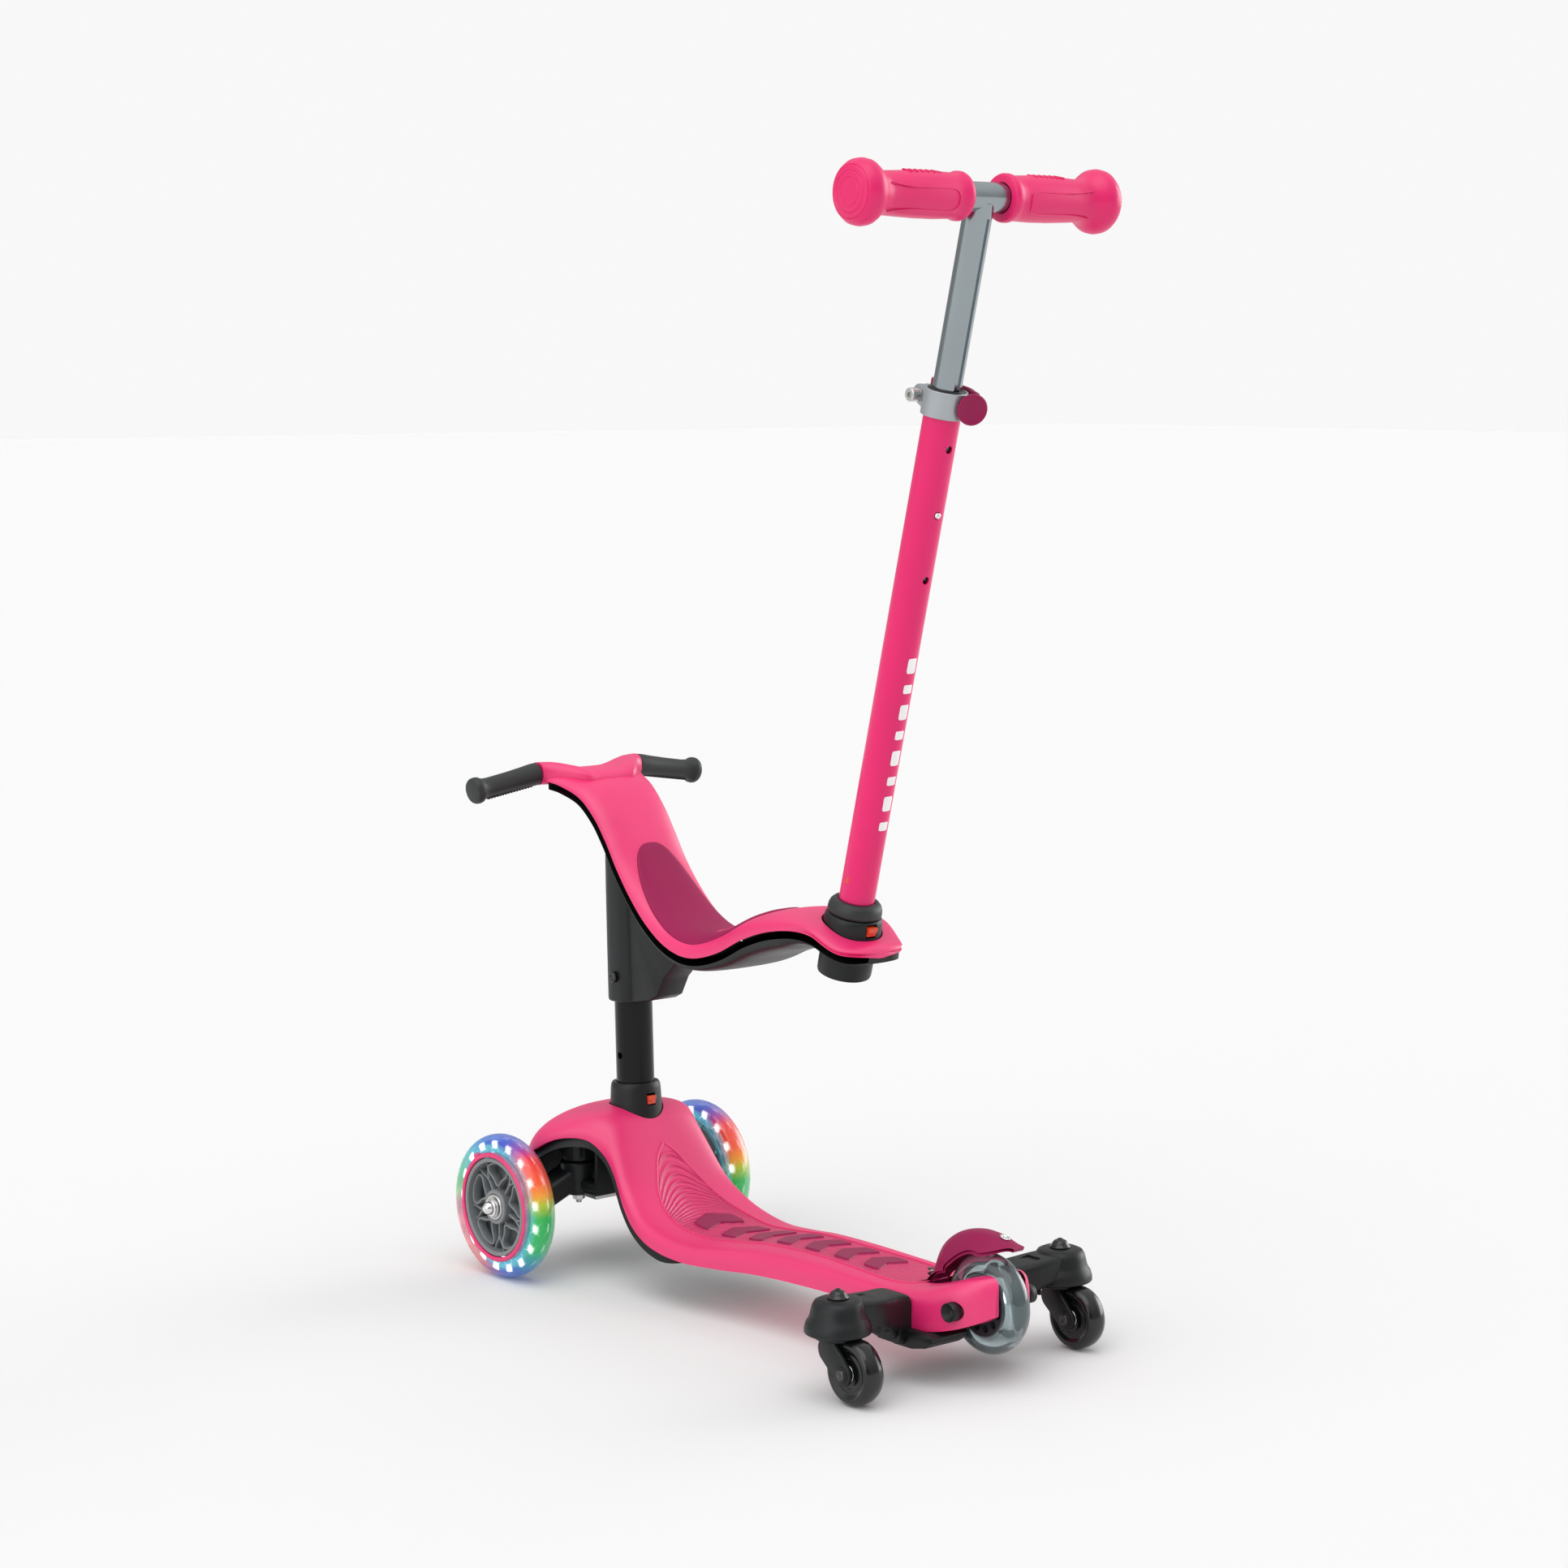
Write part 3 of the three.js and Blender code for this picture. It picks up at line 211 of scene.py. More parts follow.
def finish(name, color, roughness, grain=900, depth=0.00004, wear=0.12, metallic=0.0, coat=0.0,
           shine=0.5):
    """A moulded, painted or metal finish: colour drifts, gloss varies and the skin has grain."""
    material = bpy.data.materials.new(name)
    material.use_nodes = True
    nodes, links = material.node_tree.nodes, material.node_tree.links
    shader = nodes["Principled BSDF"]
    adjust(shader, {
        "Metallic": metallic, "Coat Weight": coat, "Specular IOR Level": shine,
        "Coat Roughness": 0.08,
    })
    skin = nodes.new("ShaderNodeGroup")
    skin.node_tree = moulded_skin
    skin.name = "skin"
    adjust(skin, {
        "Color": (*color, 1), "Roughness": roughness - wear / 2, "Grain": grain, "Wear": wear,
    })
    bump = nodes.new("ShaderNodeBump")
    bump.name = "bump"
    bump.inputs["Distance"].default_value = depth
    wire(links,
        (skin, "Color", shader, "Base Color"), (skin, "Roughness", shader, "Roughness"),
        (skin, "Height", bump, "Height"), (bump, "Normal", shader, "Normal"),
    )
    return material


def mapped(u_steps, v_steps, place):
    """A grid whose points are laid by place(u, v), each 0..1; edges that meet are welded."""
    shape = bmesh.new()
    bmesh.ops.create_grid(shape, x_segments=u_steps, y_segments=v_steps, size=0.5)
    for vert in shape.verts:
        vert.co = place(vert.co.x + 0.5, vert.co.y + 0.5)
    bmesh.ops.remove_doubles(shape, verts=shape.verts, dist=0.0005)
    bmesh.ops.dissolve_degenerate(shape, edges=shape.edges, dist=0.0001)
    bmesh.ops.recalc_face_normals(shape, faces=shape.faces)
    return shape


def joined(*shapes):
    """Several closed shapes gathered into one mesh."""
    whole = bmesh.new()
    for shape in shapes:
        data = bpy.data.meshes.new("gather")
        shape.to_mesh(data)
        shape.free()
        whole.from_mesh(data)
        bpy.data.meshes.remove(data)
    return whole


def moved(shape, matrix):
    shape.transform(matrix)
    return shape


def cut(shape, *tools):
    """The shape with every tool's volume taken out of it."""
    def holder(name, mesh):
        data = bpy.data.meshes.new(name)
        mesh.to_mesh(data)
        mesh.free()
        thing = bpy.data.objects.new(name, data)
        bpy.context.scene.collection.objects.link(thing)
        return thing
    base = holder("blank", shape)
    cutters = [holder("cutter", tool) for tool in tools]
    for cutter in cutters:
        step = base.modifiers.new("cut", "BOOLEAN")
        step.object = cutter
        step.solver = "EXACT"
    depsgraph = bpy.context.evaluated_depsgraph_get()
    depsgraph.update()
    data = bpy.data.meshes.new_from_object(base.evaluated_get(depsgraph))
    result = bmesh.new()
    result.from_mesh(data)
    for thing in [base, *cutters]:
        bpy.data.objects.remove(thing)
    return result


def piece(name, shape, body, slot, material, *nodes, place=None, bevel=0.0, angle=32, layers=2):
    """Puts a finished shape, drawn in millimetres from the front axle, on its body."""
    shape.transform(TO_FRAME @ (place or Matrix.Identity(4)))
    data = bpy.data.meshes.new(name)
    shape.to_mesh(data)
    shape.free()
    for face in data.polygons:
        face.use_smooth = True
    data.materials.append(material)
    made = bpy.data.objects.new(name, data)
    bpy.context.scene.collection.objects.link(made)
    if bevel:
        rounding = made.modifiers.new("rounding", "BEVEL")
        rounding.width = bevel / 1000
        rounding.segments = layers
        rounding.limit_method = "ANGLE"
        rounding.angle_limit = math.radians(angle)
        rounding.harden_normals = True
    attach(made, body)
    if nodes:
        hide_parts(*nodes)
    return made


def smooth_rows(rows, key):
    """Listed rows [key, value, ...] read smoothly at any key between them."""
    rising = rows[1][0] > rows[0][0]
    i = 0
    while i < len(rows) - 2 and (key > rows[i + 1][0]) == rising:
        i += 1
    a, b = rows[i], rows[i + 1]
    before, after = rows[max(i - 1, 0)], rows[min(i + 2, len(rows) - 1)]
    span = b[0] - a[0]
    t = min(max((key - a[0]) / span, 0.0), 1.0)
    read = []
    for k in range(1, len(a)):
        start = (b[k] - before[k]) / (b[0] - before[0]) * span
        end = (after[k] - a[k]) / (after[0] - a[0]) * span
        read.append(a[k] * (2 * t**3 - 3 * t**2 + 1) + start * (t**3 - 2 * t**2 + t)
                    + b[k] * (3 * t**2 - 2 * t**3) + end * (t**3 - t**2))
    return read


def ease(low, high, value):
    t = min(max((value - low) / (high - low), 0.0), 1.0)
    return t * t * (3 - 2 * t)


def mix(a, b, t):
    return a + (b - a) * t


def signed(value, power):
    """A power that keeps the sign, which squares off a circle's cosine and sine."""
    return math.copysign(abs(value) ** power, value)


def mirrored(shape, side):
    """The shape as it is on the right side, turned half round for the left."""
    return moved(shape, HALF_TURN) if side < 0 else shape


def skin_at(u, v, end=0.01):
    """A grid point of a closed double skin: along 0..1, across -1..1, and whether it is inside."""
    along = min(max((u - end) / (1 - 2 * end), 0), 1)
    return along, 1 - abs(1 - 2 * v) * 2, v > 0.5 and end / 2 < u < 1 - end / 2


def bar_through(u_steps, v_steps, power, station, end=0.01):
    """A closed squarish bar: station(t) gives its middle and its two half sizes as vectors."""
    def place(u, v):
        middle, wide, tall = station(min(max((u - end) / (1 - 2 * end), 0), 1))
        if u < end / 2 or u > 1 - end / 2:
            return middle
        around = v * 2 * math.pi
        return (middle + wide * signed(math.cos(around), power)
                + tall * signed(math.sin(around), power))
    return mapped(u_steps, v_steps, place)


# ---- Deck shell ----
# The one-piece pink deck is a hollow injection moulding with a satin face. Its hood covers the
# steering, its waist carries the footplate, and its tail forks round the rear wheel.
# Stations from nose to tail: y, half width, rim height, crown height, squareness.
DECK_STATIONS = [
    (46, 26, 79, 87, 2.2), (36, 52, 83, 108, 2.2), (20, 67, 92, 125, 2.2), (0, 75, 103, 136, 2.2),
    (-25, 69, 116, 141, 2.2), (-50, 57, 118, 142, 2.6), (-66, 51, 108, 134, 3),
    (-80, 51, 94, 116, 3.6), (-100, 55.5, 69, 88, 4), (-120, 60, 55, 71, 4.4),
    (-145, 62, 45.5, 61.5, 4.6), (-180, 60.5, 41, 57, 4.8), (-220, 54.5, 42, 60.5, 5),
    (-260, 48.5, 45, 65.5, 5), (-310, 45, 47, 67.5, 5), (-370, 44, 48, 67, 5),
    (-405, 44, 46, 66.5, 5), (-435, 44, 41, 69, 5), (-460, 43, 42, 76, 5), (-482, 37, 47, 84, 5),
    (-497, 27, 53, 88, 4), (-506, 17, 58, 89, 3),
]
DECK_SKIN = 4
DECK_NOSE = 46
DECK_TAIL = -506


def deck_skin(across, y):
    half_width, rim, crown, squareness = smooth_rows(DECK_STATIONS, y)
    angle = across * math.pi / 2
    spread = abs(math.sin(angle)) ** (2 / squareness)
    lift = max(math.cos(angle), 0) ** (2 / squareness)
    return Vector((math.copysign(spread * half_width, across), y, rim + (crown - rim) * lift))


def deck_inside(across, y, depth):
    half_width, rim, crown, squareness = smooth_rows(DECK_STATIONS, y)
    hollow = ease(-405, -370, y)
    skin = deck_skin(across, y)
    return Vector((
        skin.x * (1 - depth / half_width), y, rim + max(skin.z - depth - rim, 0) * hollow,
    ))


def deck_place(u, v):
    along, across, inside = skin_at(u, v)
    y = mix(DECK_NOSE, DECK_TAIL, along)
    across = signed(across, 0.75)
    return deck_inside(across, y, DECK_SKIN) if inside else deck_skin(across, y)


POST_FOOT = shift(0, -49.9, 0) @ Matrix.Rotation(-0.034, 4, "X")
ALONG_X = Matrix.Rotation(math.pi / 2, 4, "Y")
ALONG_Y = Matrix.Rotation(-math.pi / 2, 4, "X")
REAR_AXLE = (0, -481.6, 61.1)


def rod(radius, low, high, steps=48):
    """A plain round bar along Z."""
    shape = bmesh.new()
    bmesh.ops.create_cone(
        shape, cap_ends=True, segments=steps, radius1=radius, radius2=radius, depth=high - low,
    )
    return moved(shape, shift(0, 0, (low + high) / 2))


def spun(profile, steps=72):
    """A turned shape about Z from [radius, height] points; closed into a ring if it is hollow."""
    shape = bmesh.new()
    verts = [shape.verts.new((radius, 0, height)) for radius, height in profile]
    edges = [shape.edges.new(pair) for pair in zip(verts, verts[1:])]
    if profile[0][0] > 0 or profile[-1][0] > 0:
        edges.append(shape.edges.new((verts[-1], verts[0])))
    bmesh.ops.spin(
        shape, geom=verts + edges, cent=(0, 0, 0), axis=(0, 0, 1), dvec=(0, 0, 0),
        angle=2 * math.pi, steps=steps, use_merge=True, use_duplicate=False,
    )
    bmesh.ops.remove_doubles(shape, verts=shape.verts, dist=0.0005)
    bmesh.ops.recalc_face_normals(shape, faces=shape.faces)
    return shape


def block(x_min, x_max, y_min, y_max, z_min, z_max):
    shape = bmesh.new()
    bmesh.ops.create_cube(shape, size=1)
    size = Matrix.Diagonal((x_max - x_min, y_max - y_min, z_max - z_min, 1))
    middle = ((x_min + x_max) / 2, (y_min + y_max) / 2, (z_min + z_max) / 2)
    return moved(shape, shift(*middle) @ size)


PINK = (0.79, 0.016, 0.155)


def node_arithmetic(nodes, links):
    """Two makers of nodes for one material: a sum, and a smooth step between two values."""
    def step(kind, a, b=0.0, c=0.0):
        node = nodes.new("ShaderNodeMath")
        node.operation = kind
        for socket, value in zip(node.inputs, (a, b, c)):
            if isinstance(value, (int, float)):
                socket.default_value = value
            else:
                links.new(value, socket)
        return node.outputs[0]

    def fade(value, low, high, to_low, to_high, way="SMOOTHSTEP"):
        node = nodes.new("ShaderNodeMapRange")
        node.interpolation_type = way
        links.new(value, node.inputs["Value"])
        for socket, number in zip(("From Min", "From Max", "To Min", "To Max"),
                                  (low, high, to_low, to_high)):
            node.inputs[socket].default_value = number
        return node.outputs["Result"]
    return step, fade


def pink_deck_finish():
    """Satin pink with fine ribs moulded across the footplate, bending into waves up the hood."""
    material = finish("deck_pink", PINK, 0.42, grain=1400, depth=0.00002, shine=0.8)
    nodes, links = material.node_tree.nodes, material.node_tree.links

    sum_of, fade = node_arithmetic(nodes, links)
    place = nodes.new("ShaderNodeTexCoord")
    parts = nodes.new("ShaderNodeSeparateXYZ")
    links.new(place.outputs["Object"], parts.inputs[0])
    x = sum_of("MULTIPLY", parts.outputs["X"], 1000)
    y = sum_of("MULTIPLY_ADD", parts.outputs["Y"], 1000, -FRONT_AXLE_Y)
    bend = fade(y, -165, -100, 0, 0.026)
    bent = sum_of("MULTIPLY_ADD", sum_of("MULTIPLY", x, x), bend, y)
    swell = sum_of("EXPONENT", sum_of("DIVIDE", sum_of("ADD", bent, 140), 60))
    phase = sum_of("ADD", sum_of("MULTIPLY", bent, 0.3125), sum_of("MULTIPLY", swell, -3.5))
    wave = sum_of("SINE", sum_of("MULTIPLY", phase, 2 * math.pi))
    ridge = sum_of("POWER", sum_of("MULTIPLY_ADD", wave, 0.5, 0.5), 1.6)
    # the ribs stop inside the raised outline, which is narrow at the hood and the tail
    edge = nodes.new("ShaderNodeFloatCurve")
    curve = edge.mapping.curves[0]
    while len(curve.points) > 2:
        curve.points.remove(curve.points[-1])
    ends = [(-427, 0), (-82, 0)]
    for point, (at, half) in zip(curve.points, ends):
        point.location = ((at + 430) / 350, half / 40)
    for at, half in OUTLINE[1:-1]:
        curve.points.new((at + 430) / 350, half / 40)
    edge.mapping.update()
    links.new(sum_of("DIVIDE", sum_of("ADD", y, 430), 350), edge.inputs["Value"])
    room = sum_of("SUBTRACT", sum_of("MULTIPLY", edge.outputs[0], 40), sum_of("ABSOLUTE", x))
    inside = fade(room, 1.2, 2.4, 0, 1)
    inside = sum_of("MULTIPLY", inside, fade(y, -425, -422, 0, 1))
    inside = sum_of("MULTIPLY", inside, fade(y, -84, -88, 0, 1))
    top = fade(parts.outputs["Z"], 0.05, 0.054, 0, 1)
    height = sum_of("MULTIPLY", sum_of("MULTIPLY", ridge, inside), top)
    grain = nodes["skin"].outputs["Height"]
    links.new(sum_of("MULTIPLY_ADD", grain, 0.03, height), nodes["bump"].inputs["Height"])
    nodes["bump"].inputs["Distance"].default_value = 0.0015
    return material


# Half width of the raised outline round the ribs, tail to hood: y, half width.
OUTLINE = [
    (-427, 0), (-424, 13), (-416, 22), (-400, 26), (-370, 26), (-340, 24.5), (-304, 24.2),
    (-250, 27), (-224, 28.8), (-190, 32), (-160, 34.5), (-134, 33), (-110, 26), (-96, 17),
    (-88, 10), (-82, 0),
]
deck_pink = pink_deck_finish()
pink_smooth = finish("smooth_pink", PINK, 0.42, grain=1400, depth=0.00002, shine=0.8)
AXLE_HOLES = ((7.4, 26, 70), (7.4, -70, -26), (4.4, -60, 60))
deck = cut(
    mapped(150, 96, deck_place),
    moved(rod(22.9, 60, 200, 96), POST_FOOT),
    block(-13.6, 13.6, -600, -418, 20, 140),
    *[moved(rod(*hole), shift(*REAR_AXLE) @ ALONG_X) for hole in AXLE_HOLES],
)
piece("deck", deck, "deck", "pink_plastic", deck_pink, "deck_shell", bevel=0.7, angle=38)


def deck_height(x, y):
    half_width, rim, crown, squareness = smooth_rows(DECK_STATIONS, y)
    share = min(abs(x) / half_width, 1)
    return rim + (crown - rim) * max(1 - share ** squareness, 0) ** (1 / squareness)


def outline_loop(u, v):
    """A thin half-round bead laid on the deck along the ribs' outline."""
    count = len(OUTLINE) - 1
    turn = (u * 2) % 2
    side = 1 if turn < 1 else -1
    along = turn if turn < 1 else 2 - turn
    i = min(int(along * count), count - 1)

    def point(t):
        rows = [(k, y, half) for k, (y, half) in enumerate(OUTLINE)]
        y, half = smooth_rows(rows, min(max(t, 0), 1) * count)
        return Vector((side * max(half, 0), y))
    here, ahead, behind = point(along), point(along + 0.004), point(along - 0.004)
    direction = (ahead - behind).normalized() * side
    normal = Vector((direction.y, -direction.x))
    spot = here + normal * math.cos(v * 2 * math.pi) * 0.9
    lift = 0.15 + math.sin(v * 2 * math.pi) * 0.75
    return Vector((spot.x, spot.y, deck_height(spot.x, spot.y) + lift))


piece("deck_outline", mapped(420, 8, outline_loop), "deck", "pink_plastic", pink_smooth)

# ---- Footplate bars ----
# Seven darker chevrons stand a millimetre proud of the ribs: a plain grip pattern.
magenta = finish("magenta_plastic", (0.285, 0.006, 0.07), 0.42, grain=1600, depth=0.00003,
                 shine=0.25)


def chevron(y_middle, reach, length):
    def place(u, v):
        level = max(abs(u - 0.5), abs(v - 0.5)) * 2
        across = (u - 0.5) * 2
        along = (v - 0.5) * 2
        round_off = 1 - 0.12 * (abs(across) * abs(along)) ** 4
        x = across * reach * round_off
        y = y_middle + along * length / 2 * round_off + (1 - abs(across)) * 9
        lift = 1.3 if level < 0.97 else (0.9 if level < 0.995 else -0.8)
        return Vector((x, y, deck_height(x, y) + lift))
    return mapped(40, 20, place)


bars = [chevron(-158 - 34.5 * k, 21.5 - 0.7 * k, 20) for k in range(7)]
piece("footplate_bars", joined(*bars), "deck", "magenta_plastic", magenta)

# ---- Deck under-tray ----
# A black moulding nests inside the hood and shows as a band along both wheel arches.
black_satin = finish("black_plastic", (0.009, 0.0103, 0.0112), 0.42, grain=1100, depth=0.00005,
                     shine=0.32)


def tray_place(u, v):
    along, across, inside = skin_at(u, v)
    y = mix(38, -206, along)
    deep = 3 if inside else 0
    inner = min(max(across / 0.9, -1), 1)
    half_width, rim, crown, squareness = smooth_rows(DECK_STATIONS, y)
    slope = (smooth_rows(DECK_STATIONS, y + 1)[1] - smooth_rows(DECK_STATIONS, y - 1)[1]) / 2
    spot = deck_skin(inner, y)
    inset = mix(DECK_SKIN + 1, 2.2, ease(0.9, 1, abs(across)))
    spot.x *= 1 - (inset + deep) / half_width
    spot.z = rim + max(spot.z - DECK_SKIN - 1 - deep - rim, 0) - 0.3
    shown = ease(-206, -150, y)
    drop = max(abs(across) - 0.9, 0) / 0.1 * 7.5 * shown
    spot.z += 4 * (1 - shown)
    spot.y += drop * slope / math.hypot(1, slope)
    spot.z -= drop / math.hypot(1, slope)
    return spot


walls = [block(-49, -19, -55.5, -52, 70, 119), block(19, 49, -55.5, -52, 70, 119),
         block(-58, 58, 21.6, 24.6, 68, 100)]
for side in (-1, 1):
    boss = spun([(9.6, 93.6), (13.6, 93.6), (14.2, 94.2), (14.6, 118), (9.6, 118)])
    walls.append(moved(boss, shift(side * 38, -14, 0)))
tray = joined(cut(mapped(90, 96, tray_place), moved(rod(22.9, 60, 200, 64), POST_FOOT)), *walls)
piece("under_tray", tray, "deck", "black_plastic", black_satin, "deck_liner", bevel=0.6, angle=40)
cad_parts["front_yoke"].data.materials.clear()
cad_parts["front_yoke"].data.materials.append(black_satin)

# ---- Deck socket ----
# The collar clamps the post: a plain tapered sleeve with a wedge button in a window at its back.
button_red = finish("red_button", (0.72, 0.055, 0.012), 0.3, grain=1500, depth=0.00002, coat=0.3)
socket_collar = cut(
    spun([(16.4, 123), (22.4, 123), (22.3, 128), (22, 139), (21.1, 155.5), (20.6, 158.6),
          (19.4, 160.4), (16.4, 160.5)]),
    block(-4.3, 4.3, -30, -10, 142, 152.2),
)
piece("socket_collar", socket_collar, "deck", "black_plastic", black_satin, "deck_collar",
      place=POST_FOOT, bevel=0.5)


def wedge_button(half, front, back, low, high):
    """A moulded button whose face slopes up to a finger ledge."""
    def place(u, v):
        around = v * 2 * math.pi
        square = max(abs(math.cos(around)), abs(math.sin(around)))
        x = math.cos(around) / square * half
        rise = math.sin(around) / square
        z = mix(low, high, (rise + 1) / 2)
        stage = round(u * 4)
        if stage in (0, 4):
            x, z = 0, (low + high) / 2
            rise = 0
        depth = back if stage < 2 else front + (1.6 if rise < 0 else 0)
        return Vector((x, depth, z))
    return mapped(4, 24, place)


piece("socket_button", wedge_button(3.9, -23.6, -19.8, 143, 150.4), "collar_release", "red_button",
      button_red, "deck_button", place=POST_FOOT, bevel=0.5)

# ---- Steering ----
# Each knuckle is a stepped black barrel on a kingpin bolt, with an arm out to the wheel and a
# plated track rod joining the pair behind them.
KINGPIN = (38, -14)
FRONT_WHEEL_RADIUS = 60.5
plated = finish("plated_steel", (0.62, 0.62, 0.60), 0.28, grain=700, depth=0.00002, metallic=1.0)
bright = finish("bright_steel", (0.82, 0.82, 0.82), 0.10, grain=500, depth=0.000006, wear=0.06,
                metallic=1.0)


def knuckle_arm(side):
    def station(t):
        x, y = mix(KINGPIN[0] + 6, 87, t), mix(KINGPIN[1] + 2, 0, t)
        middle = Vector((side * x, y, mix(80, FRONT_WHEEL_RADIUS, min(t * 1.4, 1))))
        return middle, Vector((0, 12.8, 0)), Vector((0, 0, 11.6 - 2 * t))
    return bar_through(24, 40, 0.45, station, end=0.04)


for name, side in SIDES:
    pin_place = shift(side * KINGPIN[0], KINGPIN[1], 0)
    barrel = moved(spun([(4.4, 64), (13.2, 64), (14, 64.8), (14.4, 76), (15.4, 78.4), (15.6, 91),
                         (14.8, 92), (4.4, 92)]), pin_place)
    lug = block(side * 38 - 7, side * 38 + 7, -49, -22, 70, 77)
    piece(f"knuckle_{name}_moulding", joined(barrel, knuckle_arm(side), lug), f"steering_{name}",
          "black_plastic", black_satin, f"knuckle_{name}", bevel=0.6)
    nut = moved(rod(5.4, 58.4, 62.6, 6), pin_place)
    washer = moved(rod(6.6, 62.7, 63.6, 40), pin_place)
    thread = moved(spun([(0, 55.2), (2.2, 55.2), (2.6, 56), (2.6, 60), (2.6, 112), (0, 112)], 32),
                   pin_place)
    piece(f"kingpin_{name}_bolt", joined(nut, washer, thread), "deck", "steel", plated,
          f"kingpin_{name}", bevel=0.35)
    coil_turns = 3

    def coil(u, v, centre=(side * KINGPIN[0], KINGPIN[1])):
        turn = u * coil_turns * 2 * math.pi
        around = v * 2 * math.pi
        wire = 0.55 if 0.002 < u < 0.998 else 0
        radius = 7.9 + wire * math.cos(around)
        return Vector((centre[0] + radius * math.cos(turn), centre[1] + radius * math.sin(turn),
                       93.3 + u * 2.4 + wire * math.sin(around)))
    piece(f"kingpin_{name}_coil", mapped(120, 8, coil), "deck", "steel", plated,
          f"kingpin_spring_{name}")
    face = 116.6
    domed = moved(spun([(0, face + 9.6), (2.2, face + 9.3), (4, face + 8.2), (5.3, face + 6),
                        (5.8, face + 3.4), (7.4, face + 3), (7.4, face + 0.2), (4, face),
                        (4, 68), (0, 68)], 48), ALONG_X)
    piece(f"front_axle_{name}_bolt", mirrored(domed, side), f"steering_{name}", "bright_nut",
          bright, f"front_axle_{name}", place=shift(0, 0, FRONT_WHEEL_RADIUS), bevel=0.3)

plate = joined(block(-46, 46, -49, -33, 65, 68.2),
               moved(rod(2.8, 66, 79, 24), shift(38, -41, 0)),
               moved(rod(2.8, 66, 79, 24), shift(-38, -41, 0)))
piece("track_rod_plate", plate, "track_rod", "steel", plated, "tie_rod", bevel=0.5)

# ---- Front wheels ----
# A clear cast tyre over a ring of coloured lamps, a grey moulded rim with five teardrop loops,
# a pink trim ring, and a plated nut in front of the bearing.
TRACK = 104.6
LAMPS = 17
GLOW = [
    (0.0, (0.02, 0.42, 0.08)), (0.03, (0.40, 0.52, 0.04)), (0.05, (0.80, 0.32, 0.03)),
    (0.08, (0.82, 0.10, 0.03)), (0.14, (0.76, 0.04, 0.05)), (0.175, (0.26, 0.05, 0.33)),
    (0.21, (0.03, 0.06, 0.45)), (0.29, (0.02, 0.12, 0.52)), (0.35, (0.04, 0.34, 0.62)),
    (0.40, (0.06, 0.52, 0.52)), (0.45, (0.10, 0.52, 0.20)), (0.49, (0.28, 0.58, 0.12)),
    (0.52, (0.66, 0.20, 0.25)), (0.57, (0.76, 0.08, 0.12)), (0.66, (0.78, 0.13, 0.06)),
    (0.70, (0.42, 0.06, 0.25)), (0.75, (0.04, 0.12, 0.48)), (0.83, (0.02, 0.12, 0.46)),
    (0.88, (0.02, 0.28, 0.35)), (0.92, (0.02, 0.42, 0.12)), (1.0, (0.02, 0.42, 0.08)),
]


